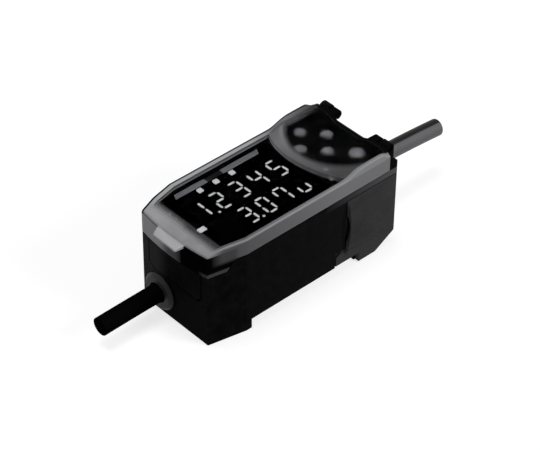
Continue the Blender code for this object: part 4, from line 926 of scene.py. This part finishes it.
# The rear edge, the arms and the trunnions are thick, and look black.
at_hinge = within(tree, [(along, *HINGE_FADE)])
hinge_share = within(tree, [(at_hinge, *HINGE_EDGE), not_side])
frost = add(tree, "Math", [frost, at_hinge], operation="MAXIMUM")
frosted_tone = side_tone
for share, tone in (
    (ring, band_tone),
    (lip, lip_tone),
    (painted_front_shade, front_shade_tone),
    (painted_shade_line, linear("0c0c0c")),
    (painted_near_highlight, linear("9a9a9c")),
    (inner_wall_shade, linear("0c0c0c")),
    (hinge_share, linear("0b0b0c")),
):
    frosted_tone = add(tree, "Mix", {0: share, 6: frosted_tone, 7: tone}, data_type="RGBA")
tone_share = add(tree, "MapRange", [frost, *TONE_EDGE])
matt = add(tree, "MapRange", {0: speckle, 3: FROST_ROUGHNESS[0], 4: FROST_ROUGHNESS[1]})
hump_matt = add(tree, "MapRange", [hump_radius, *HUMP_ROUGHNESS])
clarity = add(tree, "MapRange", [frost, *CLARITY])
band_clarity = add(tree, "MapRange", [ring, *BAND_CLARITY])
give(tree, shader, {
    "Base Color": add(tree, "Mix", {0: tone_share, 6: linear("d8d8da"), 7: frosted_tone}, data_type="RGBA"),
    "Roughness": add(tree, "Mix", {0: frost, 2: hump_matt, 3: matt}),
    "Normal": add(tree, "Bump", {"Height": speckle, "Strength": frost, "Distance": FROST_DEPTH}),
    "Transmission Weight": add(tree, "Math", [clarity, band_clarity], operation="ADD"),
    "IOR": CLEAR_IOR,
})
joined.materials.clear()
joined.materials.append(cover_plastic)


# Floor and light. A pale floor, a dim room and three soft lamps: one from the near side, one from
# above and a weak one from the cord end. Eye, gloss and clear plastic see the surroundings as white.
FLOOR_REACH = 6.0
FLOOR_GAP = 0.02 * MM
FLOOR_ROUGHNESS = 0.9
FLOOR_GLOW = 0.75
ROOM_LIGHT = 0.2
WHITE = (1.0, 1.0, 1.0, 1.0)
# Each lamp has its name, its place and width in metres, and its power in watts.
LAMPS = (
    ("near_lamp", (0.3, -0.6, 0.4), 0.35, 3.6),
    ("top_lamp", (-0.05, 0.1, 0.8), 0.4, 3.2),
    ("end_lamp", (-0.8, 0.0, 0.45), 0.3, 0.4),
)


def seen_directly(tree):
    """1 for rays from the eye, from gloss and through clear plastic, and 0 for the rest."""
    rays = add(tree, "LightPath").node.outputs
    either = add(tree, "Math", [rays["Is Camera Ray"], rays["Is Glossy Ray"]], operation="MAXIMUM")
    return add(tree, "Math", [either, rays["Is Transmission Ray"]], operation="MAXIMUM")


floor_mesh = bpy.data.meshes.new("floor")
corners = [(x * FLOOR_REACH, y * FLOOR_REACH, 0) for x, y in ((-1, -1), (1, -1), (1, 1), (-1, 1))]
floor_mesh.from_pydata(corners, [], [(0, 1, 2, 3)])
floor = bpy.data.objects.new("floor", floor_mesh)
bpy.context.scene.collection.objects.link(floor)
floor.location.z = -FLOOR_GAP

paper, tree, shader = new_material("pale_paper_floor")
give(tree, shader, {
    "Base Color": linear("9c9c9c"),
    "Roughness": FLOOR_ROUGHNESS,
    "Specular IOR Level": 0.0,
    "Emission Color": WHITE,
    "Emission Strength": add(tree, "Math", [seen_directly(tree), FLOOR_GLOW], operation="MULTIPLY"),
})
floor_mesh.materials.append(paper)

world = bpy.data.worlds.new("room")
bpy.context.scene.world = world
world.use_nodes = True
tree = world.node_tree
strength = add(tree, "MapRange", {0: seen_directly(tree), 3: ROOM_LIGHT, 4: 1.0})
give(tree, tree.nodes["Background"], {"Color": WHITE, "Strength": strength})

for name, lamp_place, size, power in LAMPS:
    lamp_data = bpy.data.lights.new(name, "AREA")
    lamp_data.shape = "DISK"
    lamp_data.size = size
    lamp_data.energy = power
    lamp = bpy.data.objects.new(name, lamp_data)
    bpy.context.scene.collection.objects.link(lamp)
    lamp.location = lamp_place
    lamp.rotation_mode = "QUATERNION"
    lamp.rotation_quaternion = (-Vector(lamp_place)).to_track_quat("-Z", "Y")
bpy.context.scene.view_settings.view_transform = "Standard"
